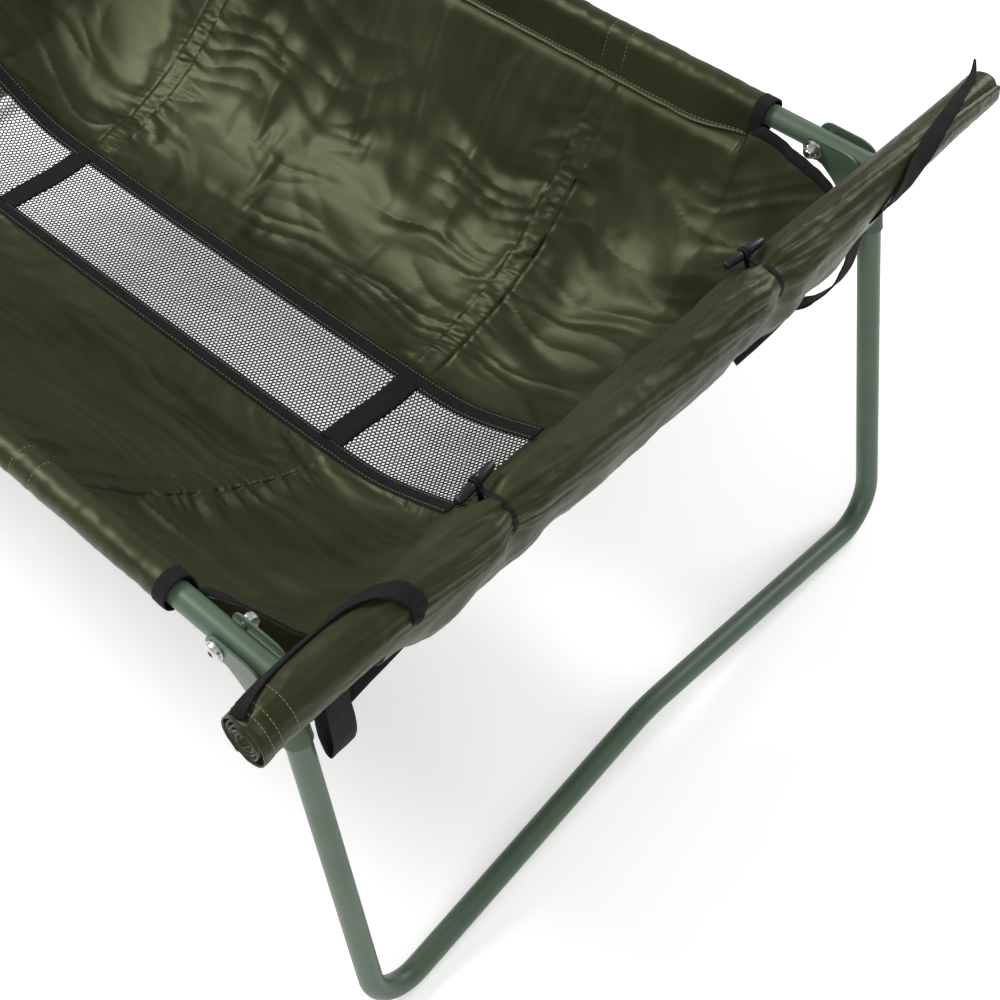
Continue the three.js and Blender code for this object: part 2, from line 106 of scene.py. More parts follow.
# the roll's centre line in millimetres: outboard of the leg's axis, across, and up
ROLL_LINE = [(27, -440, 459), (28, -380, 466), (27, 0, 461), (27, 380, 465), (24, 528, 460)]
TOGGLE_Y = {"near": -170 * MM, "far": 174 * MM}


# ---- smooth noise, the same on every run ----
def gradient_noise(u, v, seed):
    """Smooth noise of about -1 to 1 over two coordinates, one bump per unit."""
    cells = 64
    angles = np.random.default_rng(seed).random((cells, cells)) * 2 * np.pi
    u0, v0 = np.floor(u).astype(int), np.floor(v).astype(int)
    fu, fv = u - u0, v - v0

    def corner(i, j):
        a = angles[(u0 + i) % cells, (v0 + j) % cells]
        return np.cos(a) * (fu - i) + np.sin(a) * (fv - j)

    su, sv = (t * t * t * (t * (6 * t - 15) + 10) for t in (fu, fv))
    low = corner(0, 0) * (1 - su) + corner(1, 0) * su
    high = corner(0, 1) * (1 - su) + corner(1, 1) * su
    return 1.5 * (low * (1 - sv) + high * sv)


def share(value, low, high):
    return np.maximum(0, (value - low) / (high - low))


def smooth_step(value, low, high):
    t = np.clip((value - low) / (high - low), 0, 1)
    return t * t * (3 - 2 * t)


def unit(vectors):
    return vectors / np.linalg.norm(vectors, axis=-1)[..., None]


def paired(a, b):
    """Every pair of two coordinates that broadcast together, as rows."""
    return np.stack(np.broadcast_arrays(a, b), -1).reshape(-1, 2)


# ---- materials ----
class Finish:
    """A Principled material being built. Its textures are laid out in metres."""

    def __init__(self, name, colour, roughness, metallic=0.0, weave=False, **sockets):
        self.material = bpy.data.materials.new(name)
        self.material.use_nodes = True
        self.nodes = self.material.node_tree.nodes
        self.links = self.material.node_tree.links
        self.inputs = self.nodes["Principled BSDF"].inputs
        self.inputs["Base Color"].default_value = (*colour, 1)
        self.inputs["Roughness"].default_value = roughness
        self.inputs["Metallic"].default_value = metallic
        for socket, value in sockets.items():
            self.inputs[socket.replace("_", " ")].default_value = value
        if weave:  # the cloth's own coordinates, stored on its mesh
            node = self.nodes.new("ShaderNodeAttribute")
            node.attribute_name = "weave"
            self.place = node.outputs["Vector"]
        else:
            self.place = self.nodes.new("ShaderNodeTexCoord").outputs["Object"]

    def noise(self, scale, detail=3.0):
        node = self.nodes.new("ShaderNodeTexNoise")
        node.inputs["Scale"].default_value = scale
        node.inputs["Detail"].default_value = detail
        node.inputs["Roughness"].default_value = 0.55
        self.links.new(self.place, node.inputs["Vector"])
        return node.outputs["Fac"]

    def ribs(self, period, direction, distortion=0.0):
        """Parallel ribs, one every period metres."""
        node = self.nodes.new("ShaderNodeTexWave")
        node.bands_direction = direction
        node.inputs["Scale"].default_value = math.pi / 10 / period
        node.inputs["Distortion"].default_value = distortion
        self.links.new(self.place, node.inputs["Vector"])
        return node.outputs["Fac"]

    def combine(self, a, b, operation="ADD"):
        node = self.nodes.new("ShaderNodeMath")
        node.operation = operation
        for socket, value in zip(node.inputs, (a, b)):
            if isinstance(value, (int, float)):
                socket.default_value = value
            else:
                self.links.new(value, socket)
        return node.outputs["Value"]

    def coloured(self, value, *stops):
        """Colours the surface by a value, from (position, colour) stops."""
        node = self.nodes.new("ShaderNodeValToRGB")
        for end, (position, colour) in zip(node.color_ramp.elements, stops):
            end.position = position
            end.color = (*colour, 1)
        self.links.new(value, node.inputs["Fac"])
        self.links.new(node.outputs["Color"], self.inputs["Base Color"])

    def roughened(self, value, low, high):
        node = self.nodes.new("ShaderNodeMapRange")
        node.inputs["To Min"].default_value = low
        node.inputs["To Max"].default_value = high
        self.links.new(value, node.inputs["Value"])
        self.links.new(node.outputs["Result"], self.inputs["Roughness"])

    def bumped(self, height, distance, strength):
        node = self.nodes.new("ShaderNodeBump")
        node.inputs["Distance"].default_value = distance
        node.inputs["Strength"].default_value = strength
        self.links.new(height, node.inputs["Height"])
        self.links.new(node.outputs["Normal"], self.inputs["Normal"])


def nylon(name, dark, light, tone_scale=5.0):
    """Satin taffeta: a fine plain weave, a green sheen over brown hollows and slow changes of tone."""
    made = Finish(name, light, 0.4, weave=True, Sheen_Weight=0.05, Sheen_Roughness=0.35,
                  Specular_IOR_Level=0.36)
    made.inputs["Sheen Tint"].default_value = (0.30, 0.40, 0.17, 1)
    made.inputs["Specular Tint"].default_value = (0.70, 0.80, 0.42, 1)
    tone, threads = made.noise(tone_scale), made.noise(900.0, 1.0)
    mixed = made.combine(tone, made.combine(threads, 0.25, "MULTIPLY"))
    made.coloured(mixed, (0.35, dark), (0.8, light))
    made.roughened(made.noise(26.0, 4.0), 0.33, 0.45)
    weave = made.combine(made.ribs(0.0007, "X"), made.ribs(0.0007, "Y"), "MULTIPLY")
    made.bumped(weave, 0.00012, 0.35)
    return made.material


def webbing(name, dark, light):
    """Tape with ribs across its width and fine fibre flecks; its colour follows the ribs, with painted shade
    in the grooves and lighter crests.
    """
    made = Finish(name, light, 0.8, weave=True, Specular_IOR_Level=0.22)
    ribs, fuzz = made.ribs(0.0016, "X", 0.6), made.noise(1400.0, 2.0)
    height = made.combine(ribs, made.combine(fuzz, 0.5, "MULTIPLY"))
    # colour from the rib relief: painted shade in the grooves and lighter crests; the fibre flecks are the
    # tape's own tone
    made.coloured(height, (0.3, dark), (1.0, light))
    made.bumped(height, 0.0004, 0.9)
    return made.material


def painted(name):
    """Satin powder coat with a faint orange peel and uneven gloss."""
    made = Finish(name, (0.066, 0.107, 0.067), 0.38, Coat_Weight=0.1, Coat_Roughness=0.3)
    made.coloured(made.noise(14.0, 4.0), (0.3, (0.049, 0.084, 0.050)), (0.75, (0.068, 0.113, 0.068)))
    made.roughened(made.noise(60.0, 5.0), 0.36, 0.5)
    made.bumped(made.noise(900.0, 2.0), 0.00008, 0.6)
    return made.material


def metal(name, colour, roughness):
    made = Finish(name, colour, roughness, 1.0)
    wear = made.noise(300.0, 4.0)
    made.roughened(wear, roughness - 0.08, roughness + 0.14)
    made.bumped(wear, 0.00006, 0.7)
    return made.material


def plastic(name, colour, roughness):
    made = Finish(name, colour, roughness, Specular_IOR_Level=0.35)
    grain = made.noise(1500.0, 2.0)
    made.coloured(grain, (0.3, [0.85 * c for c in colour]), (0.8, [1.2 * c for c in colour]))
    made.roughened(grain, roughness - 0.06, roughness + 0.1)
    made.bumped(grain, 0.00005, 0.6)
    return made.material


def yarn(name, dark, light):
    made = Finish(name, light, 0.7, Specular_IOR_Level=0.2)
    fibres = made.noise(2200.0, 3.0)
    made.coloured(fibres, (0.3, dark), (0.75, light))
    made.bumped(fibres, 0.0001, 0.8)
    return made.material


OLIVE = nylon("olive_nylon", (0.012, 0.0095, 0.0045), (0.028, 0.031, 0.0145))
OLIVE_ROLL = nylon("olive_nylon_roll", (0.013, 0.011, 0.0055), (0.028, 0.031, 0.015), 9.0)
BLACK_WEB = webbing("black_webbing", (0.002, 0.002, 0.002), (0.010, 0.010, 0.010))
NET = yarn("black_net", (0.003, 0.003, 0.003), (0.009, 0.009, 0.009))
THREAD_DARK = yarn("dark_thread", (0.008, 0.009, 0.005), (0.020, 0.022, 0.012))
THREAD_PALE = yarn("pale_thread", (0.16, 0.17, 0.10), (0.30, 0.31, 0.20))
ELASTIC = yarn("black_elastic", (0.003, 0.003, 0.003), (0.009, 0.009, 0.010))
PAINT = painted("green_paint")
STEEL = metal("zinc_steel", (0.55, 0.55, 0.53), 0.30)
GREEN_PLASTIC = plastic("green_plastic", (0.024, 0.036, 0.025), 0.42)
BLACK_PLASTIC = plastic("black_plastic", (0.009, 0.010, 0.011), 0.34)


# ---- mesh helpers ----
def piece(name, points, faces, material, body, slot=None, replaces=(), weave=None, sharp=None):
    """One visible piece: a mesh with smooth shading that rides on a body."""
    mesh = bpy.data.meshes.new(name)
    mesh.from_pydata([tuple(p) for p in points], [], [tuple(int(i) for i in f) for f in faces])
    mesh.polygons.foreach_set("use_smooth", [True] * len(mesh.polygons))
    if weave is not None:
        stored = mesh.attributes.new("weave", "FLOAT_VECTOR", "POINT")
        flat = np.zeros((len(points), 3), np.float32)
        flat[:, :2] = weave
        stored.data.foreach_set("vector", flat.ravel())
    if sharp is not None:
        mesh.set_sharp_from_angle(angle=math.radians(sharp))
    mesh.materials.append(material)
    made = bpy.data.objects.new(name, mesh)
    bpy.context.scene.collection.objects.link(made)
    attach(made, body)
    if replaces:
        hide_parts(*replaces)
    return made


def grid_faces(rows, columns, wrap_rows=False, wrap_columns=False):
    last_row = rows if wrap_rows else rows - 1
    last_column = columns if wrap_columns else columns - 1
    r, c = np.meshgrid(np.arange(last_row), np.arange(last_column), indexing="ij")
    r1, c1 = (r + 1) % rows, (c + 1) % columns
    quads = np.stack([r * columns + c, r1 * columns + c, r1 * columns + c1, r * columns + c1], -1)
    return quads.reshape(-1, 4).tolist()


def rod_faces(rows, around):
    """Faces of rings joined in order, with a cap at each end."""
    return grid_faces(rows, around, wrap_columns=True) + [
        list(range(around))[::-1], list(range((rows - 1) * around, rows * around))]


def thicken(made, thickness, offset=0.0):
    modifier = made.modifiers.new("cloth", "SOLIDIFY")
    modifier.thickness = thickness
    modifier.offset = offset
    return made


def bevelled(made, width):
    """Breaks the edges sharper than 40 degrees."""
    modifier = made.modifiers.new("edges", "BEVEL")
    modifier.width = width
    modifier.segments = 2
    modifier.limit_method = "ANGLE"
    modifier.angle_limit = math.radians(40)
    modifier.harden_normals = True


def frames_along(path):
    """Tangents and a steady pair of normals at each point of a path."""
    path = np.array(path, float)
    tangents = unit(np.gradient(path, axis=0))
    first = np.cross(tangents[0], (0, 0, 1))
    if np.linalg.norm(first) < 0.1:
        first = np.cross(tangents[0], (0, 1, 0))
    normals = [first / np.linalg.norm(first)]
    for t in tangents[1:]:
        n = normals[-1] - t * (normals[-1] @ t)
        normals.append(n / np.linalg.norm(n))
    normals = np.array(normals)
    return path, tangents, normals, np.cross(tangents, normals)


def tube(path, radius, sides):
    """A round rod along a path, closed at both ends. radius is one value or one for each point."""
    path, _, normals, others = frames_along(path)
    turn = np.arange(sides) / sides * 2 * np.pi
    radii = np.broadcast_to(radius, (len(path),))
    ring = np.cos(turn)[None, :, None] * normals[:, None] + np.sin(turn)[None, :, None] * others[:, None]
    points = path[:, None] + ring * radii[:, None, None]
    return points.reshape(-1, 3), rod_faces(len(path), sides)


def turned(profile, sides, closed=False):
    """Points and faces turned about +Z from (radius, height) pairs. An open profile ends on the axis."""
    profile = np.array(profile, float)
    turn = np.arange(sides) / sides * 2 * np.pi
    points = []
    index = []
    for radius, height in profile:
        if radius < 1e-9:
            index.append([len(points)] * sides)
            points.append((0, 0, height))
        else:
            index.append(list(range(len(points), len(points) + sides)))
            points += [(radius * math.cos(t), radius * math.sin(t), height) for t in turn]
    faces = []
    rows = len(profile)
    for a in range(rows if closed else rows - 1):
        b = (a + 1) % rows
        for n in range(sides):
            m = (n + 1) % sides
            face = [index[a][n], index[a][m], index[b][m], index[b][n]]
            faces.append(list(dict.fromkeys(face)))
    return np.array(points), faces


def placed(points, matrix):
    matrix = np.array(matrix, float)
    return np.asarray(points) @ matrix[:3, :3].T + matrix[:3, 3]


def joined(parts):
    """Several (points, faces) as one."""
    points, faces, start = [], [], 0
    for p, f in parts:
        points.append(np.asarray(p, float))
        faces += [[i + start for i in face] for face in f]
        start += len(p)
    return np.concatenate(points), faces


def line_lengths(path):
    """How far along a path each of its points is."""
    return np.concatenate([[0], np.cumsum(np.linalg.norm(np.diff(path, axis=0), axis=1))])


def smooth_line(points, count):
    """A smooth line through given points (Catmull-Rom), resampled to even steps."""
    points = np.array(points, float)
    ends = np.vstack([2 * points[0] - points[1], points, 2 * points[-1] - points[-2]])
    fine = []
    for n in range(1, len(ends) - 2):
        a, b, c, d = ends[n - 1 : n + 3]
        for t in np.linspace(0, 1, 24, endpoint=False):
            fine.append(0.5 * (2 * b + (c - a) * t + (2 * a - 5 * b + 4 * c - d) * t**2
                               + (3 * b - 3 * c + d - a) * t**3))
    fine = np.array(fine + [ends[-2]])
    steps = line_lengths(fine)
    at = np.linspace(0, steps[-1], count)
    return np.stack([np.interp(at, steps, fine[:, k]) for k in range(3)], 1)


def soft_grid(name, points, material, slot, weave, thickness, offset=0.0, replaces=(), closed=False):
    """Cloth through a grid of points. Where closed, its last column joins its first."""
    faces = grid_faces(*points.shape[:2], wrap_columns=closed)
    made = piece(name, points.reshape(-1, 3), faces, material, "cradle", slot, replaces, weave)
    return thicken(made, thickness, offset)


def ribbon(name, path, normals, width, thickness, across, wave, seed, replaces=()):
    """Flat webbing along a path: normals point out of its face, width is one value or one for each point."""
    side = unit(np.cross(np.gradient(path, axis=0), normals))
    widths = np.broadcast_to(width, (len(path),))
    v = np.linspace(-0.5, 0.5, across)
    lengths = line_lengths(path)
    points = path[:, None] + side[:, None] * (v[None, :, None] * widths[:, None, None])
    lift = gradient_noise(lengths[:, None] / 0.02, v[None, :] * 1.5, seed) * wave
    points = points + normals[:, None] * lift[..., None]
    return soft_grid(name, points, BLACK_WEB, "black_webbing",
                     paired(lengths[:, None], v[None, :] * widths[:, None]), thickness, replaces=replaces)


def stitch_parts(path, normals, length, pitch, width):
    """Short raised dashes along a path, as (points, faces)."""
    lengths = line_lengths(path)
    count = max(1, int(lengths[-1] / pitch))
    parts = []
    for n in range(count):
        middle = (n + 0.5) * lengths[-1] / count
        ends = []
        for at in (middle - length / 2, middle, middle + length / 2):
            ends.append([np.interp(at, lengths, path[:, k]) for k in range(3)])
        up = np.array([np.interp(middle, lengths, normals[:, k]) for k in range(3)])
        a, b, c = np.array(ends)
        along = c - a
        along /= max(np.linalg.norm(along), 1e-9)
        side = np.cross(along, up) * width / 2
        rise = up * width * 0.7
        points = [a - side, a + side, b - side + rise * 0.4, b + side + rise * 0.4, c - side, c + side,
                  a + rise * 0.3, b + rise, c + rise * 0.3, b - rise * 0.6]
        faces = [(0, 6, 7, 2), (6, 1, 3, 7), (2, 7, 8, 4), (7, 3, 5, 8), (0, 2, 9), (2, 4, 9), (1, 9, 3),
                 (3, 9, 5), (0, 9, 1), (4, 5, 9), (0, 1, 6), (4, 8, 5)]
        parts.append((np.array(points), faces))
    return parts


# ---- metal frame ----
def end_matrix(way):
    """From an end's own frame, where X is 0 at the leg's axis and points outboard, to the row frame."""
    turn = 0.0 if way > 0 else math.pi
    where = Vector((math.cos(turn) * HALF_LENGTH, CENTRE_Y, 0))
    return Matrix.Translation(where) @ Matrix.Rotation(turn, 4, "Z")


def facing(x, y, z, outward):
    """Stands something turned about +Z on the Y axis, pointing outward."""
    return Matrix.Translation((x, y, z)) @ Matrix.Rotation(-outward * math.pi / 2, 4, "X")


def leg_point(along, outboard=0.0):
    return (along * math.sin(LEG_SPLAY) + outboard * math.cos(LEG_SPLAY),
            RAIL_HEIGHT - along * math.cos(LEG_SPLAY) + outboard * math.sin(LEG_SPLAY))


def leg_path():
    """Down one leg, round a bend, over the arched foot bar and up the other leg."""
    reach = HALF_SPACING - FOOT_BEND
    slope = math.atan(FOOT_ARCH / reach)
    peak = 24 * MM
    half = [(-HALF_SPACING, a) for a in np.linspace(LEG_TOP, LEG_LENGTH - FOOT_BEND, 20, endpoint=False)]
    for turn in np.linspace(0, math.pi / 2 + slope, 19):
        half.append((-reach - FOOT_BEND * math.cos(turn), LEG_LENGTH - FOOT_BEND * (1 - math.sin(turn))))
    start_y, start_along = half[-1]
    end_along = LEG_LENGTH - FOOT_ARCH + peak * math.tan(slope)
    for t in np.linspace(0, 1, 16)[1:]:
        half.append((start_y + (-peak - start_y) * t, start_along + (end_along - start_along) * t))
    for y in np.linspace(-peak, 0, 6)[1:-1]:
        half.append((y, LEG_LENGTH - FOOT_ARCH + math.tan(slope) * (peak + y * y / peak) / 2))
    middle = [(0, LEG_LENGTH - FOOT_ARCH + math.tan(slope) * peak / 2)]
    whole = half + middle + [(-y, a) for y, a in reversed(half)]
    return [(leg_point(a)[0], y, leg_point(a)[1]) for y, a in whole]


def quadratic(a, b, c, steps):
    a, b, c = (np.array(p, float) for p in (a, b, c))
    return [tuple((1 - t) ** 2 * a + 2 * t * (1 - t) * b + t * t * c) for t in np.linspace(0, 1, steps)]


def plate_outline():
    """The bracket from the side, as (x, z): top edge, down the leg, and the hollow edge back to the eye."""
    top = RAIL_HEIGHT + EYE_R
    outline = [(-PIVOT_INSET, top)]
    outline += quadratic((-20 * MM, top), (-3 * MM, top - MM), leg_point(6 * MM, MM), 9)
    outline += quadratic(leg_point(48 * MM, 9 * MM), leg_point(60 * MM, 9 * MM), leg_point(62 * MM), 6)
    hollow = quadratic(leg_point(62 * MM, -SOCKET_R + MM), (-12 * MM, RAIL_HEIGHT - 34 * MM),
                       (-PIVOT_INSET + 5 * MM, RAIL_HEIGHT - EYE_R + MM), 15)
    outline += hollow
    for turn in np.linspace(-1.17, -math.pi * 1.5, 17)[1:-1]:
        outline.append((-PIVOT_INSET + EYE_R * math.cos(turn), RAIL_HEIGHT + EYE_R * math.sin(turn)))
    return outline, hollow


def prism(outline, y0, y1):
    """A closed prism from an outline in X and Z, as a bmesh."""
    made = bmesh.new()
    rings = [[made.verts.new((x, y, z)) for x, z in outline] for y in (y0, y1)]
    count = len(outline)
    made.faces.new(rings[0])
    made.faces.new(rings[1][::-1])
    for n in range(count):
        m = (n + 1) % count
        made.faces.new((rings[0][n], rings[1][n], rings[1][m], rings[0][m]))
    bmesh.ops.recalc_face_normals(made, faces=made.faces)
    return made


def scratch_object(made, name):
    mesh = bpy.data.meshes.new(name)
    made.to_mesh(mesh)
    made.free()
    thing = bpy.data.objects.new(name, mesh)
    bpy.context.scene.collection.objects.link(thing)
    return thing


def bracket_shape():
    """A pressed U-channel: two plates astride the rail and a web under it, with rounded hollow edges."""
    outline, hollow = plate_outline()
    wide = PLATE_INSIDE + PLATE
    block = prism(outline, -wide, wide)
    near_hollow = {(round(x, 6), round(z, 6)) for x, z in hollow[1:-1]}
    rounded = [e for e in block.edges
               if all((round(v.co.x, 6), round(v.co.z, 6)) in near_hollow for v in e.verts)
               and abs(e.verts[0].co.y - e.verts[1].co.y) < MM]
    bmesh.ops.bevel(block, geom=rounded, offset=3.5 * MM, segments=4, profile=0.5, affect="EDGES")
    web = hollow[3:9]
    inner = [(x + 1.5 * MM, z + 1.6 * MM) for x, z in web]
    left = -PIVOT_INSET - 30 * MM
    slot = [(left, RAIL_HEIGHT + 40 * MM), (40 * MM, RAIL_HEIGHT + 40 * MM), leg_point(80 * MM, 40 * MM),
            leg_point(80 * MM, -13 * MM), *inner, (web[-1][0] - 5 * MM, web[-1][1] - 6 * MM),
            (left, web[-1][1] - 6 * MM)]
    body = scratch_object(block, "bracket_block")
    cutter = scratch_object(prism(slot, -PLATE_INSIDE, PLATE_INSIDE), "bracket_slot")
    cut = body.modifiers.new("slot", "BOOLEAN")
    cut.object = cutter
    cut.operation = "DIFFERENCE"
    cut.solver = "EXACT"
    graph = bpy.context.evaluated_depsgraph_get()
    mesh = bpy.data.meshes.new_from_object(body.evaluated_get(graph))
    points = np.array([v.co for v in mesh.vertices], float).reshape(-1, 3)
    faces = [list(p.vertices) for p in mesh.polygons]
    for thing in (body, cutter):
        bpy.data.objects.remove(thing)
    return points, faces


def hexed(points, across_flats, low, high):
    """Draws the points between two heights in or out to a hexagon."""
    points = points.copy()
    turn = np.arctan2(points[:, 1], points[:, 0])
    reach = across_flats / 2 / np.cos((turn % (math.pi / 3)) - math.pi / 6)
    radius = np.hypot(points[:, 0], points[:, 1])
    chosen = (points[:, 2] > low) & (points[:, 2] < high) & (radius > 1e-6)
    factor = np.where(chosen, np.minimum(reach / np.maximum(radius, 1e-9), 1.0), 1.0)
    points[:, :2] *= factor[:, None]
    return points


def stepped(base, *steps):
    """Steps of a turned profile, (radius, height above a base) in millimetres."""
    return [(radius * MM, base + height * MM) for radius, height in steps]


def bolt_shape():
    """Domed head with a hexagon recess outboard, plain shank, threaded end inboard."""
    grip = PLATE_INSIDE + PLATE
    end = -grip - 11 * MM
    profile = stepped(end, (0, 0), (3.0, 0), (3.5, 0.6))
    for n in range(10):
        profile += stepped(end + (1.0 + n) * MM, (3.9, 0), (3.9, 0.25), (3.35, 0.55))
    head = grip + GAP
    profile += stepped(-grip, (4, 1)) + stepped(head, (4, 0), (8.8, 0), (8.8, 1.2), (8.0, 1.5), (7.8, 2.4),
                                                (7.2, 4.2), (5.8, 5.4), (4.2, 6.0), (3.4, 6.1), (3.1, 5.9),
                                                (3.1, 3.2), (0, 2.9))
    points, faces = turned(profile, 36)
    inner = np.hypot(points[:, 0], points[:, 1]) < 3.2 * MM
    recess = hexed(points, 5.2 * MM, head + 3 * MM, head + 5.95 * MM)
    points[inner] = recess[inner]
    return points, faces


def nut_shape():
    """Washer, chamfered hexagon and round collar, from its seat outwards along +Z."""
    washer = turned(stepped(0, (4, 0), (8.6, 0), (9.0, 0.3), (9.0, 1.1), (8.6, 1.4), (4, 1.4)), 36,
                    closed=True)
    points, faces = turned(stepped(0, (4, 1.5), (6.6, 1.5), (7.4, 2.1), (7.4, 6.4), (6.5, 7.2), (5.9, 7.3),
                                   (5.7, 9.2), (5.0, 9.7), (4, 9.4)), 36, closed=True)
    return joined([washer, (hexed(points, 13 * MM, 1.4 * MM, 6.9 * MM), faces)])


def knob_shape():
    """Oval dished wing on a round hub and a threaded stud."""
    base = PLATE_INSIDE + PLATE + 6 * MM + 3 * GAP
    rings = [(0, 4.0), (0.62, 4.0), (0.86, 4.2), (0.96, 5.2), (1.0, 7.0), (1.0, 12.6), (0.975, 14.4),
             (0.93, 15.3), (0.87, 15.5), (0.82, 15.0), (0.72, 13.9), (0.5, 13.2), (0.22, 13.0), (0, 13.0)]
    wing, faces = turned([(k, base + h * MM) for k, h in rings], 48)
    wing[:, 0] *= 8.5 * MM
    wing[:, 1] *= 20 * MM
    hub = turned(stepped(base, (0, 0), (6.6, 0), (7.2, 0.8), (7.4, 5), (0, 5)), 36)
    tip = TUBE_R + GAP
    stud = stepped(tip, (0, 0), (2.6, 0))
    for n in range(9):
        stud += stepped(tip + (1 + n) * MM, (3.0, 0), (3.0, 0.2), (2.55, 0.5))
    return [joined([(wing, faces), hub]), turned(stud + stepped(base, (2.6, 1), (0, 1)), 24)]


def socket_shape():
    """Short outer tube with softly rolled lips, hanging down its own -Z from the rail's axis."""
    inner, outer, lip = TUBE_R + GAP, SOCKET_R, 0.5 * MM
    return turned([(inner + lip, -SOCKET_TOP), (outer - lip, -SOCKET_TOP), (outer, -SOCKET_TOP - lip),
                   (outer, -SOCKET_FOOT + 2 * lip), (outer + 0.4 * MM, -SOCKET_FOOT + lip),
                   (outer - 0.2 * MM, -SOCKET_FOOT), (inner + lip, -SOCKET_FOOT),
                   (inner, -SOCKET_FOOT + lip), (inner, -SOCKET_TOP - lip)], 48, closed=True)


def rail_shape():
    """Round tube along +X from the middle joint to just past the leg, open at both ends."""
    start, end, bore, lip = GAP / 2, RAIL_END, TUBE_R - TUBE_WALL, 0.3 * MM
    profile = [(bore, start + lip), (bore + lip, start), (TUBE_R - lip, start), (TUBE_R, start + lip)]
    profile += [(TUBE_R, x) for x in np.linspace(start, end, 12)[1:-1]]
    profile += [(TUBE_R, end - lip), (TUBE_R - lip, end), (bore + lip, end), (bore, end - lip)]
    points, faces = turned(profile, 48, closed=True)
    return placed(points, Matrix.Rotation(math.pi / 2, 4, "Y")), faces


def hard_piece(node, ending, shape, matrix, body, slot, sharp, replaces=True):
    """A hard part in its place and in the finish of its slot. It stands for a node of the same name."""
    points, faces = shape
    finish = {"green_paint": PAINT, "zinc_steel": STEEL, "green_plastic": GREEN_PLASTIC}[slot]
    return piece(f"{node}_{ending}", placed(points, matrix), faces, finish, body, slot,
                 [node] if replaces else (), sharp=sharp)


def frame_pieces():
    bracket, bolt, nut, socket = bracket_shape(), bolt_shape(), nut_shape(), socket_shape()
    (wing, stud), rail, leg = knob_shape(), rail_shape(), tube(leg_path(), TUBE_R, 40)
    splayed = Matrix.Rotation(-LEG_SPLAY, 4, "Y")
    knob_x, knob_z = leg_point(KNOB_DROP)
    for end, way in ENDS:
        matrix = end_matrix(way)
        holder = f"leg_bracket_{end}"
        hard_piece(f"leg_frame_{end}", "tube", leg, matrix, f"leg_{end}", "green_paint", 40)
        for side, sign in SIDES:
            local = way * sign  # end b's own frame is turned half round
            y = local * HALF_SPACING
            key = f"{end}_{side}"
            made = hard_piece(f"bracket_{key}", "pressing", bracket, matrix @ Matrix.Translation((0, y, 0)),
                              holder, "green_paint", 35)
            bevelled(made, 0.5 * MM)
            slant = matrix @ Matrix.Translation((0, y, RAIL_HEIGHT)) @ splayed
            hard_piece(f"leg_socket_{key}", "tube", socket, slant, holder, "green_paint", 50)
            pivot = matrix @ facing(-PIVOT_INSET, y, RAIL_HEIGHT, local)
            hard_piece(f"pivot_bolt_{key}", "threaded", bolt, pivot, "cradle", "zinc_steel", 30)
            inside = y - local * (PLATE_INSIDE + PLATE + GAP)
            seat = matrix @ facing(-PIVOT_INSET, inside, RAIL_HEIGHT, -local)
            hard_piece(f"pivot_nut_{key}", "hex", nut, seat, "cradle", "zinc_steel", 30)
            stands = matrix @ Matrix.Translation((knob_x, y, knob_z)) @ splayed @ facing(0, 0, 0, local)
            hard_piece(f"clamp_knob_{key}", "wing", wing, stands, f"knob_{key}", "green_plastic", 40)
            hard_piece(f"clamp_knob_{key}", "stud", stud, stands, f"knob_{key}", "zinc_steel", 30,
                       replaces=False)
            rail_at = matrix @ Matrix.Translation((-HALF_LENGTH, y, RAIL_HEIGHT))
            hard_piece(f"rail_{side}_{end}", "tube", rail, rail_at, "cradle", "green_paint", 40)


def carried_nodes():
    """CAD nodes whose shape is right: they get a finish and broken edges."""
    finishes = {"rail_spigot": STEEL, "clamp_nut": PAINT, "rail_cap": BLACK_PLASTIC}
    for name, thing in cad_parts.items():
        for start, finish in finishes.items():
            if name.startswith(start):
                thing.data.materials.clear()
                thing.data.materials.append(finish)
                bevelled(thing, 0.35 * MM)


frame_pieces()
carried_nodes()


# ---- sling ----
SEAM_UP = 0.955  # how far up a side the stitched hem of the rail sleeve is


def half_width(x):
    t = np.minimum(share(np.abs(x), SLEEVE_REACH, WALL_X), 1.1)
    return SIDE_HALF_WIDTH + (CORNER_HALF_WIDTH - SIDE_HALF_WIDTH) * (0.7 * t + 0.3 * t**6)


def hanging(x, across):
    """The sling as it hangs, without its folds: the same curve as the CAD fabric, with a rounded start."""
    w = half_width(x)
    y = across * w
    up = np.minimum(1, share(np.abs(y), FLOOR_HALF_WIDTH, w))
    taut = np.where(y < 0, TAUTNESS[-1], TAUTNESS[1])
    side = taut * up + (1 - taut) * up**3
    run = (np.abs(x) - FLOOR_HALF_LENGTH + 90 * MM) / (WALL_X - FLOOR_HALF_LENGTH + 90 * MM)
    out = (run + np.sqrt(run**2 + 0.03)) / 2
    end = 0.45 * out + 0.55 * out**6
    rise = side + end - side * end
    past = np.clip(share(np.abs(x), SLEEVE_REACH - 12 * MM, WALL_X + 10 * MM), 0, 1)
    lift = 13 * MM * smooth_step(np.abs(across), 0.84, 1.0) * np.sin(np.pi * past) ** 0.6
    z = FLOOR_HEIGHT + (SIDE_TOP - FLOOR_HEIGHT) * rise + lift
    return np.stack([np.broadcast_to(x, z.shape), y + CENTRE_Y, z], -1)


def share_at(up, w):
    """The share of the half width w at a height up the side, which is 0 at the floor and 1 at the rail."""
    return (FLOOR_HALF_WIDTH + up * (w - FLOOR_HALF_WIDTH)) / w


def normals_of(x, across, surface=hanging):
    step = 0.5 * MM
    along = surface(x + step, across) - surface(x - step, across)
    over = surface(x, across + 0.002) - surface(x, across - 0.002)
    return unit(np.cross(along, over))


def creases(u, v, seed):
    """Crumpled cloth: soft hills that meet in narrow valleys."""
    bend = 0.45 * gradient_noise(u * 0.6, v * 0.6, seed + 7)
    return 0.35 - np.abs(gradient_noise(u + bend, v - bend, seed))


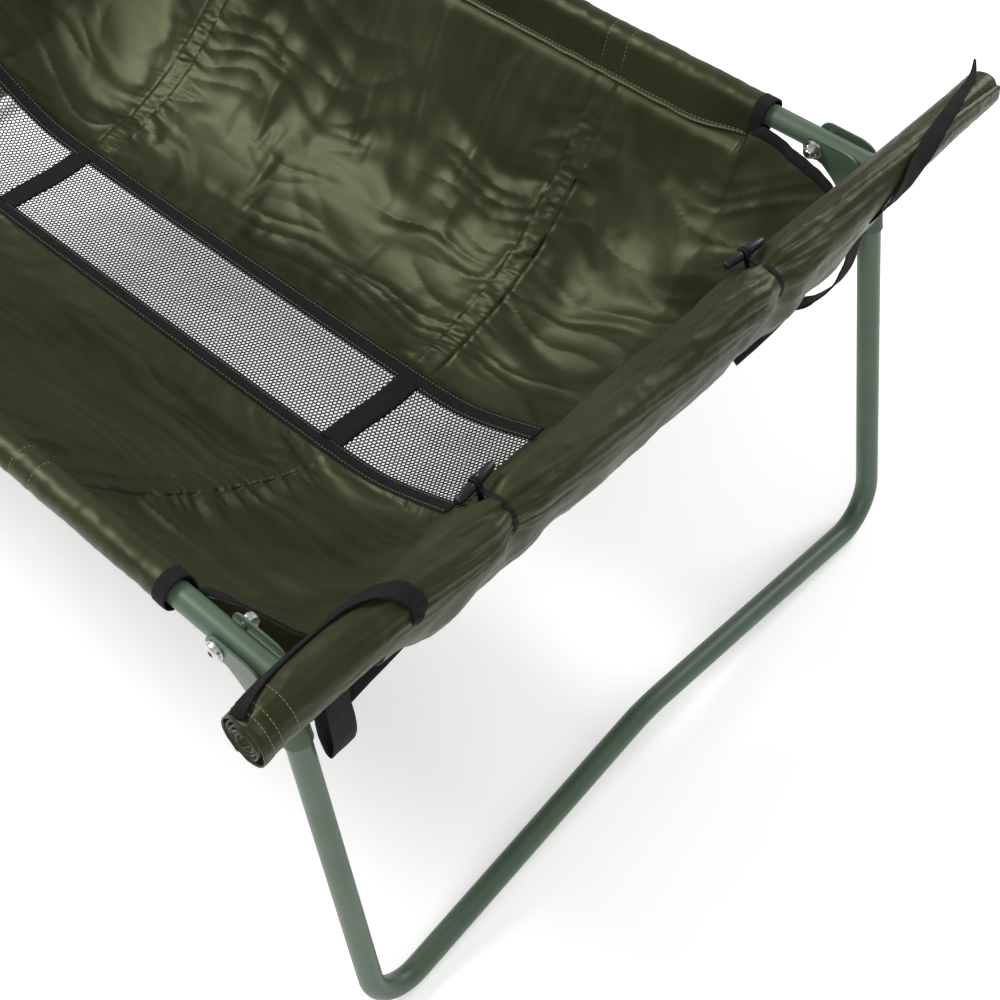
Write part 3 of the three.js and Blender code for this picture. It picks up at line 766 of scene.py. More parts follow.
def cloth_place(x, across):
    """Where a point is in the cloth in millimetres, and how far it is up the side."""
    y = across * half_width(x)
    up = np.clip(share(np.abs(y), FLOOR_HALF_WIDTH, half_width(x)), 0, 1)
    return x / MM, (np.abs(y) - FLOOR_HALF_WIDTH) * 1.3 * np.sign(across) / MM, y, up


def loose(x, y, up):
    """0 where the cloth is sewn to the floor's tape or the sleeve's hem, 1 where it hangs free."""
    floor_zone = smooth_step(np.abs(y), FLOOR_HALF_WIDTH + 9 * MM, FLOOR_HALF_WIDTH + 60 * MM)
    end_zone = smooth_step(np.abs(x), FLOOR_HALF_LENGTH + 2 * MM, FLOOR_HALF_LENGTH + 45 * MM)
    held = np.where(np.abs(x) < SLEEVE_REACH, 0.95, 0.55)
    return np.maximum(floor_zone, end_zone) * (1 - smooth_step(up, SEAM_UP - 0.14, SEAM_UP) * held)


def near_seam(u, reach):
    """1 on the stitched lines that run up the sides, fading out over reach millimetres."""
    away = np.min([np.abs(u - sign * seam / MM) for seam in SEAM_X for sign in (-1, 1)], axis=0)
    return np.exp(-((away / reach) ** 1.6))


def slack(x, across):
    """The spare cloth that the sling is sewn with, as broad folds along it."""
    u, v, y, up = cloth_place(x, across)
    outer = smooth_step(np.abs(u), SEAM_X[1] / MM, SEAM_X[1] / MM + 60)
    seam_pull = 1 - 0.6 * near_seam(u, 22)
    big = 8.0 * gradient_noise(u / 230 + 3.1, v / 150 + 1.7, 11)
    sway = 34 * gradient_noise(u / 170, v / 240, 15)
    lengthwise = (7.0 + 4.5 * outer) * gradient_noise(u / 170, (v + sway) / 38, 12)
    slanted = 6.5 * (1 - outer) * gradient_noise((0.5 * u + 0.86 * v) / 52, (0.86 * u - 0.5 * v) / 150, 13)
    return (big + seam_pull * (lengthwise + slanted)) * loose(x, y, up) * MM


def puckers(x, across):
    """Sharp folds, small gathers along the seams and the tape, and fine creases."""
    u, v, y, up = cloth_place(x, across)
    side = np.sign(u)
    from_seam = np.abs(np.abs(u) - (SEAM_X[0] + SEAM_X[1]) / 2 / MM)
    beyond = np.maximum(from_seam - 12.5, 0)  # outside the two stitched lines, which are 25 apart
    band = smooth_step(-from_seam, -14, -10)
    # between the stitched lines the cloth is drawn up in small gathers
    gathers = 1.0 * gradient_noise(u / 19, v / 6.5, 16) + 0.5 * gradient_noise(u / 11 + 7, v / 3.4, 17)
    strength = 0.75 + 0.8 * gradient_noise(v / 45 + 5, side * 3.3 + u / 300, 22)
    total = band * np.clip(strength, 0.25, 1.5) * gathers
    # from them, short pulls run out into the panel
    pulls = np.clip(gradient_noise(side * 5.7 + u / 90, v / 13 + beyond / 60, 23), -0.15, 1)
    total = total - 3.4 * pulls * np.exp(-beyond / 17) * (1 - band)
    sway = 26 * gradient_noise(u / 120, v / 160, 24)
    folds = 4.2 * creases(u / 210, (v + sway) / 40, 18) + 1.2 * creases((u + v) / 62, (v - 0.4 * u) / 95, 25)
    folds = folds + 0.07 * creases(u / 15, v / 13, 19)
    total = total + folds * (1 - band) * (1 - 0.5 * near_seam(u, 12))
    end_zone = smooth_step(np.abs(x), FLOOR_HALF_LENGTH - 10 * MM, FLOOR_HALF_LENGTH + 20 * MM)
    beside_tape = np.exp(-np.abs(np.abs(y) / MM - 76) / 7) * (1 - end_zone)
    tape_gathers = 1.3 * np.clip(gradient_noise(u / 7.5, v / 40, 20), -0.2, 1)
    # stitches sink into the cloth, and its top edge is tucked under the sleeve
    groove = 1.5 * near_seam(u, 1.7) * smooth_step(up, 0.03, 0.08)
    tucked = 3.2 * smooth_step(up, SEAM_UP - 0.012, SEAM_UP + 0.012) * (np.abs(x) < FLOOR_HALF_LENGTH)
    total = total * np.maximum(loose(x, y, up), 0.4 * band)
    return (total + beside_tape * tape_gathers - groove - tucked) * MM


class Drape:
    """How far each point of the sling moves from its hanging curve, on a coarse grid."""

    rows, columns = 143, 129
    limit = 17 * MM
    frames = 26

    def __init__(self):
        self.x = np.linspace(-WALL_X - 8 * MM, WALL_X + 8 * MM, self.rows)
        self.across = np.linspace(-1.02, 1.02, self.columns)
        x, across = np.meshgrid(self.x, self.across, indexing="ij")
        self.rest = hanging(x, across)
        self.start = self.rest + normals_of(x, across) * slack(x, across)[..., None]
        self.offset = self.start - self.rest
        self.offset = self.simulated(x, across) - self.rest
        far = np.linalg.norm(self.offset, axis=-1)[..., None]
        self.offset *= np.minimum(1, self.limit / np.maximum(far, 1e-9))

    def simulated(self, x, across):
        """The spare cloth settles under its own weight, held at its seams."""
        y = across * half_width(x)
        up = share(np.abs(y), FLOOR_HALF_WIDTH, half_width(x))
        floor = (np.abs(y) < FLOOR_HALF_WIDTH + 12 * MM) & (np.abs(x) < FLOOR_HALF_LENGTH + 8 * MM)
        hem = (up > SEAM_UP - 0.01) & (np.abs(x) < SLEEVE_REACH + 6 * MM)
        ends = np.abs(x) > WALL_X - 6 * MM
        edges = np.abs(across) > 0.985
        seams = near_seam(x / MM, 4.5) > 0.5
        held = np.where(floor | hem | ends, 1.0, np.where(edges, 0.5, np.where(seams, 0.25, 0.0))).ravel()
        mesh = bpy.data.meshes.new("drape")
        mesh.from_pydata(self.start.reshape(-1, 3).tolist(), [], grid_faces(self.rows, self.columns))
        thing = bpy.data.objects.new("drape", mesh)
        bpy.context.scene.collection.objects.link(thing)
        group = thing.vertex_groups.new(name="held")
        for weight in (0.25, 0.5, 1.0):
            group.add([int(n) for n in np.flatnonzero(held == weight)], weight, "REPLACE")
        cloth = thing.modifiers.new("cloth", "CLOTH")
        for setting, value in dict(quality=6, mass=0.12, tension_stiffness=22, compression_stiffness=22,
                                   shear_stiffness=9, bending_stiffness=1.6, air_damping=2.0,
                                   shrink_min=-0.022, vertex_group_mass="held", pin_stiffness=2.0).items():
            setattr(cloth.settings, setting, value)
        cloth.collision_settings.use_collision = False
        cloth.point_cache.frame_end = self.frames
        scene = bpy.context.scene
        for n in range(1, self.frames + 1):
            scene.frame_set(n)
        graph = bpy.context.evaluated_depsgraph_get()
        settled = thing.evaluated_get(graph)
        points = np.zeros(len(mesh.vertices) * 3, np.float32)
        settled.data.vertices.foreach_get("co", points)
        bpy.data.objects.remove(thing)
        scene.frame_set(1)
        return points.reshape(self.rows, self.columns, 3).astype(float)

    def __call__(self, x, across):
        """The movement at any point, as a smooth surface through the grid."""
        gx = np.interp(x, self.x, np.arange(self.rows))
        gy = np.interp(across, self.across, np.arange(self.columns))
        ix, iy = np.floor(gx).astype(int), np.floor(gy).astype(int)

        def weights(t):
            return ((1 - t) ** 3 / 6, (3 * t**3 - 6 * t**2 + 4) / 6,
                    (-3 * t**3 + 3 * t**2 + 3 * t + 1) / 6, t**3 / 6)

        total = 0.0
        for i, wx in enumerate(weights(gx - ix)):
            for j, wy in enumerate(weights(gy - iy)):
                row = np.clip(ix + i - 1, 0, self.rows - 1)
                column = np.clip(iy + j - 1, 0, self.columns - 1)
                total = total + (wx * wy)[..., None] * self.offset[row, column]
        return total


drape = Drape()


def sling(x, across):
    return hanging(x, across) + drape(x, across) + normals_of(x, across) * puckers(x, across)[..., None]


def thick_sheet(name, points, normals, weave, thickness, material, slot, replaces=()):
    """A closed sheet made by standing both faces off a grid. Its shading follows the given normals."""
    rows, columns = points.shape[:2]
    top = (points + normals * thickness / 2).reshape(-1, 3)
    under = (points - normals * thickness / 2).reshape(-1, 3)
    count = rows * columns
    upper = np.array(grid_faces(rows, columns))
    index = np.arange(count).reshape(rows, columns)
    rim = np.concatenate([index[0], index[1:, -1], index[-1, -2::-1], index[-2:0:-1, 0]])
    after = np.roll(rim, -1)
    faces = np.vstack([upper, upper[:, ::-1] + count, np.stack([rim, after, after + count, rim + count], 1)])
    made = piece(name, np.vstack([top, under]), faces.tolist(), material, "cradle", slot, replaces,
                 np.vstack([weave, weave]))
    turned_out = np.cross(points[1, 0] - points[0, 0], points[0, 1] - points[0, 0]) @ normals[0, 0]
    if turned_out < 0:
        made.data.flip_normals()
    made.data.normals_split_custom_set_from_vertices(np.vstack([normals.reshape(-1, 3),
                                                                -normals.reshape(-1, 3)]).tolist())
    return made


def cloth(name, x, low, high, count, material, thickness, slot, replaces, lift=0.0):
    """A sheet of the sling between two lines of shares across it, and the points of its middle surface."""
    t = np.linspace(0, 1, count)
    across = low[:, None] * (1 - t) + high[:, None] * t
    wide = np.broadcast_to(x[:, None], across.shape)
    points = sling(wide, across) + normals_of(wide, across) * lift
    steps = np.linalg.norm(np.diff(points, axis=1), axis=2)
    over = np.concatenate([np.zeros((len(x), 1)), np.cumsum(steps, axis=1)], 1)
    normals = normals_of(wide, across, sling)
    return thick_sheet(name, points, normals, paired(wide, over), thickness, material, slot, replaces), points


def area_of(points):
    a = points[1:, :-1] - points[:-1, :-1]
    b = points[:-1, 1:] - points[:-1, :-1]
    return float(np.linalg.norm(np.cross(a, b), axis=2).sum())


def flatten(*things):
    for thing in things:
        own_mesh(thing)


def nylon_pieces():
    x = np.linspace(-FLOOR_HALF_LENGTH, FLOOR_HALF_LENGTH, int(2 * FLOOR_HALF_LENGTH / GRID))
    under_sleeve = SEAM_UP + 0.024 + 0.008 * smooth_step(np.abs(x), SLEEVE_REACH - 85 * MM,
                                                         SLEEVE_REACH - 10 * MM)
    for side, sign in SIDES:
        low = sign * (FLOOR_HALF_WIDTH + 2 * MM) / half_width(x)
        high = sign * share_at(under_sleeve, half_width(x))
        made, points = cloth(f"side_panel_{side}_cloth", x, low, high, 118, OLIVE, NYLON_THICK,
                             "olive_nylon", [f"side_panel_{side}"])
        round(float(line_lengths(points[len(x) // 2])[-1]), 3)
        flatten(made)
    for end, way in ENDS:
        x = way * np.linspace(FLOOR_HALF_LENGTH, WALL_X + (0 if end == "a" else 3 * MM), 52)
        made, points = cloth(f"end_wall_{end}_cloth", x, -np.ones_like(x), np.ones_like(x), 270, OLIVE,
                             NYLON_THICK, "olive_nylon", [f"end_wall_{end}"])
        min(0.25, round(area_of(points), 3))
        flatten(made)


def net_grid():
    """Points and faces of a net with six-sided holes."""
    pitch = 4.6 * MM
    row = pitch * math.sqrt(3) / 2
    half = NET_HALF_WIDTH
    hole = 0.74  # its size beside the cell's
    points, faces, known = [], [], {}

    def corner(x, y):
        key = (round(x / pitch * 6), round(y / pitch * 6))
        if key not in known:
            known[key] = len(points)
            points.append((x, y))
        return known[key]

    turn = [math.radians(30 + 60 * n) for n in range(6)]
    radius = pitch / math.sqrt(3)
    for r in range(int(2 * half / row)):
        y = -half + (r + 0.5) * row
        for c in range(int(2 * FLOOR_HALF_LENGTH / pitch) + 1):
            x = -FLOOR_HALF_LENGTH + 4 * MM + (c + 0.5 * (r % 2)) * pitch
            outer = [corner(x + radius * math.cos(t), y + radius * math.sin(t)) for t in turn]
            inner = []
            for t in turn:
                points.append((x + hole * radius * math.cos(t), y + hole * radius * math.sin(t)))
                inner.append(len(points) - 1)
            for n in range(6):
                m = (n + 1) % 6
                faces.append((outer[n], outer[m], inner[m], inner[n]))
    points = np.array(points)
    x, y = points[:, 0], points[:, 1]
    wave = 1.6 * gradient_noise(x / 0.07, y / 0.05, 31) + 0.5 * gradient_noise(x / 0.021, y / 0.02, 35)
    inside = 1 - np.abs(y / half) ** 3
    sag = (wave - 2.5) * inside * MM
    placed_at = hanging(x, y / half_width(x))
    placed_at[:, 2] += sag
    return placed_at, faces


def net_pieces():
    points, faces = net_grid()
    net = piece("drain_floor_net", points, faces, NET, "cradle", "black_net", ["drain_floor_mesh"])
    thicken(net, 0.95 * MM)
    for polygon in net.data.polygons:
        polygon.use_smooth = False
    flatten(net)
    x = np.linspace(-FLOOR_HALF_LENGTH - 2 * MM, FLOOR_HALF_LENGTH + 2 * MM, 420)
    inner, outer = FLOOR_HALF_WIDTH - TAPE_WIDTH / 2, FLOOR_HALF_WIDTH + TAPE_WIDTH / 2
    for side, sign in SIDES:
        made, _ = cloth(f"floor_border_{side}_tape", x, sign * inner / half_width(x),
                        sign * outer / half_width(x), 9, BLACK_WEB, 1.3 * MM, "black_webbing",
                        [f"floor_border_tape_{side}"], lift=1.1 * MM)
        flatten(made)
    y = np.linspace(-inner - 3 * MM, inner + 3 * MM, 40)
    for end, way in ENDS:
        middle = np.full_like(y, way * STRAP_X)
        path = hanging(middle, y / half_width(middle))
        path[:, 2] += (2.4 - 2.2 * (1 - (y / inner) ** 2)) * MM
        path[:, 0] += 1.5 * MM * np.sin(y / 0.02)
        up = np.broadcast_to((0.0, 0.0, 1.0), path.shape)
        made = ribbon(f"floor_strap_{end}_ribbed", path, up, STRAP_WIDTH, 1.5 * MM, 7, 0.5 * MM, 41,
                      [f"floor_strap_{end}"])
        flatten(made)


def sleeve_section(sign, extra=0.0):
    """The sleeve's loop round a rail, from the hem seam up the inside, over the top and back down outside."""
    across = sign * share_at(SEAM_UP, SIDE_HALF_WIDTH)
    start = hanging(np.array(0.0), np.array(across))[1:]
    centre = np.array([CENTRE_Y + sign * HALF_SPACING, RAIL_HEIGHT + 0.8 * MM])
    radius = SLEEVE_R + extra
    towards = start - centre
    facing_seam = math.atan2(towards[1], towards[0])
    lean = math.acos(radius / np.linalg.norm(towards))
    first, last = facing_seam - sign * lean, facing_seam + sign * lean - sign * 2 * math.pi
    arc = [centre + radius * np.array([math.cos(t), math.sin(t)]) for t in np.linspace(first, last, 34)]
    inside = [start + (arc[0] - start) * t for t in np.linspace(0, 1, 8)[:-1]]
    belly = np.array([sign, 0.6]) * 3.0 * MM
    outside = [arc[-1] + (start - arc[-1]) * t + belly * math.sin(math.pi * t)
               for t in np.linspace(0, 1, 12)[1:]]
    loop = np.array(inside + arc + outside)
    loop[:, 1] = np.maximum(loop[:, 1], RAIL_HEIGHT - 30.5 * MM)  # stays above a folded leg
    return loop, unit(loop - centre)


def sleeve_sheet(sign, x, extra=0.0, wrinkle=1.0):
    """Points and cloth coordinates of the sleeve over x, and the length round its loop."""
    loop, away = sleeve_section(sign, extra)
    around = line_lengths(loop)
    turn = around / around[-1]
    u, v = x[:, None] / MM, around[None, :] / MM
    bulge = 1.3 * creases(u / 60, v / 34, 61) + 0.9 * creases(u / 24, v / 40, 62)
    bulge = bulge + 0.35 * gradient_noise(u / 9, v / 12, 63)
    for seam in SEAM_X:
        for way in (-1, 1):
            bulge = bulge - 0.8 * np.exp(-(((u - way * seam / MM) / 3) ** 2))
    ends = 1 - 0.8 * smooth_step(turn, 0.9, 1.0) - 0.8 * (1 - smooth_step(turn, 0, 0.1))
    lift = (0.55 + wrinkle * np.clip(bulge + 0.4, 0, 3)) * ends[None, :] * MM
    rail_axis = np.array([CENTRE_Y + sign * HALF_SPACING, RAIL_HEIGHT])
    spare = np.maximum(np.linalg.norm(loop - rail_axis, axis=1) - SLEEVE_R, 0)
    drawn_up = 0.45 * smooth_step(np.abs(x), SLEEVE_REACH - 70 * MM, SLEEVE_REACH - 4 * MM)
    hem = np.maximum(np.exp(-around / 0.014), np.exp((around - around[-1]) / 0.014))
    ruffle = 0.7 * MM * gradient_noise(u / 21, 0.4 + 0 * v, 64) * hem[None, :]
    flat = loop[None] + away[None] * (lift + ruffle - drawn_up[:, None] * spare[None, :])[..., None]
    points = np.concatenate([np.broadcast_to(x[:, None, None], (*flat.shape[:2], 1)), flat], 2)
    return points, paired(x[:, None], around[None, :]), around[-1]


def sleeve_pieces():
    x = np.linspace(-SLEEVE_REACH, SLEEVE_REACH, 300)
    for side, sign in SIDES:
        points, weave, round_it = sleeve_sheet(sign, x)
        made = soft_grid(f"rail_sleeve_{side}_cloth", points, OLIVE, "olive_nylon", weave, 0.7 * MM,
                         replaces=[f"rail_sleeve_{side}"])
        for end, way in ENDS:
            cuff_x = way * np.linspace(SLEEVE_REACH - 7 * MM, SLEEVE_REACH + 7 * MM, 9)
            points, weave, _ = sleeve_sheet(sign, cuff_x, 0.2 * MM, 0.75)
            soft_grid(f"sleeve_cuff_{end}_{side}_tape", points, BLACK_WEB, "black_webbing", weave[:, ::-1],
                      1.4 * MM, float(sign * way), [f"sleeve_cuff_{end}_{side}"])


def bound_edge(name, path, inward, normal, depth, replaces=()):
    """Folded tape over a cloth edge: a flat loop in section, carried along the edge."""
    half = 1.5 * MM
    section = [(-0.7 * MM, half * 0.6), (-1.1 * MM, 0), (-0.7 * MM, -half * 0.6), (0.5 * MM, -half),
               (depth * 0.5, -half * 1.1), (depth, -half * 0.8), (depth, half * 0.8),
               (depth * 0.5, half * 1.1), (0.5 * MM, half)]
    lengths = line_lengths(path)
    ring = []
    for n, (deep, out) in enumerate(section):
        ruffle = 0.6 * MM * gradient_noise(lengths / 0.012, np.full_like(lengths, n / 5), 71)
        ring.append(path + inward * deep + normal * (out + ruffle * (deep > 0))[:, None])
    points = np.stack(ring, 1)
    v = np.linspace(0, 2 * depth, len(section))
    made = piece(name, points.reshape(-1, 3), rod_faces(len(path), len(section)), BLACK_WEB, "cradle",
                 "black_webbing", replaces, paired(lengths[:, None], v[None, :]))
    flatten(made)


def corner_flap(name, x, sign):
    """The wall's spare cloth below its bound corner edge, beside the bracket."""
    across = np.full_like(x, float(sign))
    edge = sling(x, across)
    down = np.linspace(0, 1, 14)
    fade = np.sin(np.pi * np.linspace(0.03, 0.97, len(x))) ** 0.4
    ruffle = 2.2 * MM * gradient_noise(x / 0.024, np.full_like(x, 0.6), 73)
    points = np.repeat(edge[:, None], len(down), axis=1)
    points[..., 2] -= (2 + 44 * down[None, :] * fade[:, None]) * MM
    points[..., 1] -= sign * (4 * np.sin(down * 2.6)[None, :] * MM + ruffle[:, None] * down[None, :])
    along, over = np.gradient(points, axis=0), np.gradient(points, axis=1)
    normals = unit(np.cross(along, over))
    normals = unit(0.6 * normals + np.array([0, 0, 0.8]) * np.sign(normals[..., 1:2] * sign))
    weave = paired(x[:, None], down[None, :] * 45 * MM)
    made = thick_sheet(name, points, normals, weave, 0.9 * MM, OLIVE, "olive_nylon")
    flatten(made)


def edge_pieces():
    """The bound free edges of each end wall's corners, and the hem of the open end."""
    for end, way in ENDS:
        for side, sign in SIDES:
            x = way * np.linspace(SLEEVE_REACH, WALL_X, 70)
            across = np.full_like(x, float(sign))
            path = sling(x, across)
            inward = unit(sling(x, across - sign * 0.02) - path)
            path = path + np.array([0, 0, 1]) * 1.2 * MM * gradient_noise(x / 0.013, across, 75)[:, None]
            bound_edge(f"corner_binding_{end}_{side}", path, inward, normals_of(x, across),
                       (11 if side == "far" else 16) * MM)
            corner_flap(f"corner_flap_{end}_{side}", x[2:-4], sign)
    across = np.linspace(-1, 1, 240)
    x = np.full_like(across, -WALL_X - 3 * MM)
    path = sling(x, across)
    inward = unit(sling(x + 4 * MM, across) - path)
    bound_edge("end_hem_b_tape", path, inward, normals_of(x, across), 12 * MM, ["end_hem_b"])


def stitch_line(x, across, lift):
    """Where stitches along a line on the sling run, and which way they face."""
    normal = normals_of(x, across)
    return sling(x, across) + normal * lift, normal


def sleeve_stitch_lines(sign):
    """Along the hem, and round the rail in line with the seams up the side."""
    reach = SLEEVE_REACH - 10 * MM
    points, _, _ = sleeve_sheet(sign, np.linspace(-reach, reach, 300))
    rail_line = np.array([0, CENTRE_Y + sign * HALF_SPACING, RAIL_HEIGHT])
    for column in (1, 2):
        path = points[:, column]
        out = np.broadcast_to((0.0, -sign * 0.8, 0.6), path.shape)
        yield path + out * 0.5 * MM, out
    for seam in SEAM_X:
        for way in (-1, 1):
            ring, _, _ = sleeve_sheet(sign, np.full(3, way * seam) + np.array([-1, 0, 1]) * MM)
            path = ring[1, 3:42]
            out = unit((path - rail_line) * (0, 1, 1))
            yield path + out * 0.5 * MM, out


def stitched(name, lines, material):
    parts = []
    for path, out in lines:
        parts += stitch_parts(path, out, 3.0 * MM, 4.6 * MM, 0.7 * MM)
    return piece(name, *joined(parts), material, "cradle")


def stitch_pieces():
    up = np.linspace(0.04, SEAM_UP - 0.01, 160)
    x = np.linspace(-FLOOR_HALF_LENGTH, FLOOR_HALF_LENGTH, 700)
    for side, sign in SIDES:
        seams = [np.full_like(up, way * seam) for seam in SEAM_X for way in (-1, 1)]
        lines = [stitch_line(seam, sign * share_at(up, half_width(seam)), 0.5 * MM) for seam in seams]
        flatten(stitched(f"seam_stitches_{side}", lines, THREAD_DARK))
        rows = [sign * (FLOOR_HALF_WIDTH - TAPE_WIDTH / 2 + inset * MM) for inset in (3, 17)]
        lines = [stitch_line(x, y / half_width(x), 2.0 * MM) for y in rows]
        flatten(stitched(f"tape_stitches_{side}", lines, THREAD_PALE))
        stitched(f"sleeve_stitches_{side}", sleeve_stitch_lines(sign), THREAD_PALE)


nylon_pieces()
net_pieces()
sleeve_pieces()
edge_pieces()
stitch_pieces()


# ---- rolled cover at end a ----
ROLL_POINTS = [(HALF_LENGTH + x * MM, y * MM + CENTRE_Y, z * MM) for x, y, z in ROLL_LINE]
ROLL_AXIS = smooth_line(ROLL_POINTS, 360)
ROLL_NEAR, ROLL_FAR = ROLL_AXIS[0, 1], ROLL_AXIS[-1, 1]
TOGGLES = [CENTRE_Y + y for y in TOGGLE_Y.values()]


def roll_centre(y):
    return np.stack([np.interp(y, ROLL_AXIS[:, 1], ROLL_AXIS[:, 0]), y,
                     np.interp(y, ROLL_AXIS[:, 1], ROLL_AXIS[:, 2])], -1)


def roll_radii(y):
    """Half the roll's width and height: round at its ends, slack and flattened between its toggles."""
    slack = smooth_step(y, ROLL_NEAR + 90 * MM, ROLL_NEAR + 240 * MM)
    slack = slack * (1 - smooth_step(y, ROLL_FAR - 330 * MM, ROLL_FAR - 170 * MM))
    size = 21.0 - 4.2 * smooth_step(y, CENTRE_Y + 180 * MM, ROLL_FAR)
    wide, high = size + 1.5 * slack, size - 1.0 * slack
    for at in TOGGLES:
        pull = np.exp(-(((y - at) / (16 * MM)) ** 2))
        wide, high = wide * (1 - 0.30 * pull), high * (1 - 0.16 * pull)
    return wide * MM, high * MM, slack


def roll_point(y, turn, lift=0.0, detail=1.0):
    """A point on the roll's surface. turn is 0 outboard and a quarter turn at the top."""
    y, turn = np.broadcast_arrays(np.asarray(y, float), np.asarray(turn, float))
    wide, high, slack = roll_radii(y)
    u = y / MM
    around = np.cos(turn), np.sin(turn)
    twist = turn + u / 260
    big = 2.6 * slack * gradient_noise(u / 120, 2.2 * around[0] + 8, 81)
    long_folds = creases(u / 150 + 0.8 * np.sin(twist), 2.1 * np.sin(twist + 0.6) + 5, 82)
    long_folds = (1.1 + 2.6 * slack) * long_folds
    crumple = 0.9 * creases(u / 30, 2.6 * around[1] + 1.4 * around[0] + 9, 83)
    crumple = crumple + 0.35 * creases(u / 12, 5 * around[0] + 3 * around[1] + 20, 84)
    pinch = 0.0
    for at in TOGGLES:
        away = (y - at) / (34 * MM)
        pleats = np.sin(5 * turn + 2.0 * away + at * 40)
        pinch = pinch + 2.3 * np.exp(-(away**2)) * pleats * np.minimum(1, away**2 * 3)
    from_edge = ((twist - 2.5 + np.pi) % (2 * np.pi)) - np.pi  # round the roll from the cover's free edge
    step = 1.4 * (1 - smooth_step(np.abs(from_edge), 0.0, 0.5))
    for at in TOGGLES:
        away = (y - at) / MM
        reach = np.exp(-((away / 95) ** 2)) * (1 - np.exp(-((away / 14) ** 2)))
        pinch = pinch + 2.6 * reach * creases(3.0 * turn + away / 46, away / 160 + 2.5, 85)
    radius = detail * (big + long_folds + crumple + pinch - step * np.sign(np.sin(twist - 2.5))) * MM + lift
    centre = roll_centre(y)
    x = centre[..., 0] + around[0] * (wide + radius)
    z = centre[..., 2] + around[1] * (high + radius)
    return np.stack([x, y, z], -1)


def cover_pieces():
    y = np.linspace(ROLL_NEAR, ROLL_FAR, 420)
    turn = np.linspace(0, 2 * np.pi, 96, endpoint=False)
    roll = soft_grid("cover_roll_cloth", roll_point(y[:, None], turn[None, :]), OLIVE_ROLL, "olive_nylon",
                     paired(y[:, None], (turn * ROLL_R)[None, :]), 1.0 * MM, 1.0, ["cover_roll"], closed=True)
    turn = np.linspace(0.4, 4.6 * 2 * math.pi, 330)
    depth = np.linspace(0.0, 46 * MM, 9)
    slack = 0.5 * MM * gradient_noise(turn / 0.5, np.full_like(turn, 0.4), 91)
    kinks = 1.7 * MM * (0.35 - np.abs(gradient_noise(turn / 0.85, np.full_like(turn, 2.4), 92)))
    spiral = 19.3 * MM - (16.6 * MM) * (turn / turn[-1]) ** 0.9 + slack + kinks
    uneven = 1.2 * MM * gradient_noise(turn / 1.1, np.full_like(turn, 5.5), 93)
    for side, start, way, size in (("near", ROLL_NEAR, 1, 1), ("far", ROLL_FAR, -1, 0.8)):
        at = start + way * ((0.2 * MM + depth)[:, None] + uneven[None, :])
        spin = way * turn[None, :] + 0.8
        radius = spiral * size
        reach = np.stack([np.cos(spin) * radius * 0.97, 0 * spin, np.sin(spin) * radius], -1)
        points = roll_centre(at) + reach
        made = soft_grid(f"cover_roll_{side}_layers", points, OLIVE_ROLL, "olive_nylon",
                         paired(turn[None, :] * 12 * MM, depth[:, None]), 0.9 * MM)
        length = float(line_lengths(points[0])[-1])
    parts = []
    turn = np.linspace(-1.2, math.pi + 0.9, 90)
    for at in [ROLL_NEAR + d * MM for d in (9, 17, 33)] + [ROLL_FAR - d * MM for d in (8, 15, 36)]:
        path = roll_point(np.full_like(turn, at), turn, 1.1 * MM)
        out = unit(path - roll_centre(np.full_like(turn, at)))
        parts += stitch_parts(path, out, 2.6 * MM, 3.6 * MM, 0.6 * MM)
    piece("roll_stitches", *joined(parts), THREAD_PALE, "cradle")


def cover_root():
    """The slack cloth between the roll and the end wall, which bellies out below the roll."""
    y = np.linspace(CENTRE_Y - 318 * MM, CENTRE_Y + 325 * MM, 260)
    t = np.linspace(0, 1, 44)
    start = roll_point(y, -0.1, -0.6 * MM)
    u, v = y[:, None] / MM, t[None, :] * 90
    fade = smooth_step(y, y[0], y[0] + 70 * MM) * (1 - smooth_step(y, y[-1] - 70 * MM, y[-1]))
    end = np.stack([HALF_LENGTH + (3 + 8 * fade) * MM, y, (396 - 24 * fade) * MM], -1)
    belly = start * 0.25 + end * 0.75
    belly[:, 0] += (7 + 9 * fade) * MM
    shoulder = start + np.array([3 * MM, 0, -26 * MM])
    a, b, c, d = (p[:, None] for p in (start, shoulder, belly, end))
    s = t[None, :, None]
    points = (1 - s) ** 3 * a + 3 * s * (1 - s) ** 2 * b + 3 * s * s * (1 - s) * c + s**3 * d
    spread = 0.0
    for at in TOGGLES:
        away = u - at / MM
        fan = away / (26 + v * 0.9)
        spread = spread + 3.4 * np.exp(-((away / 75) ** 2)) * np.sin(4.2 * fan + 0.8) * smooth_step(v, 0, 25)
    lift = spread + 3.5 * creases(u / 120, v / 30 + u / 300, 121) + 1.6 * creases(u / 38, v / 46, 122)
    lift = lift * np.sin(np.pi * np.clip(t * 0.94 + 0.03, 0, 1))[None, :] ** 0.6
    points = points + lift[..., None] * np.array([0.85, 0, -0.5]) * MM
    normals = unit(np.cross(np.gradient(points, axis=1), np.gradient(points, axis=0)))
    weave = paired(y[:, None], v * MM)
    made = thick_sheet("cover_root_cloth", points, normals, weave, 0.9 * MM, OLIVE_ROLL, "olive_nylon")
    flatten(made)


def roll_ribbon(name, stations, widths, seed):
    """Binding that winds over the roll, from stations in order: (y from the roll's near end in mm, turn in
    degrees, lift in mm)."""
    line = smooth_line([(y * MM, math.radians(turn), lift * MM) for y, turn, lift in stations], 120)
    path = roll_point(ROLL_NEAR + line[:, 0], line[:, 1], line[:, 2] + 1.6 * MM)
    out = unit((path - roll_centre(ROLL_NEAR + line[:, 0])) * (1, 0, 1))
    width = np.interp(np.linspace(0, 1, 120), np.linspace(0, 1, len(widths)), widths) * MM
    return ribbon(name, path, out, width, 1.3 * MM, 7, 0.7 * MM, seed)


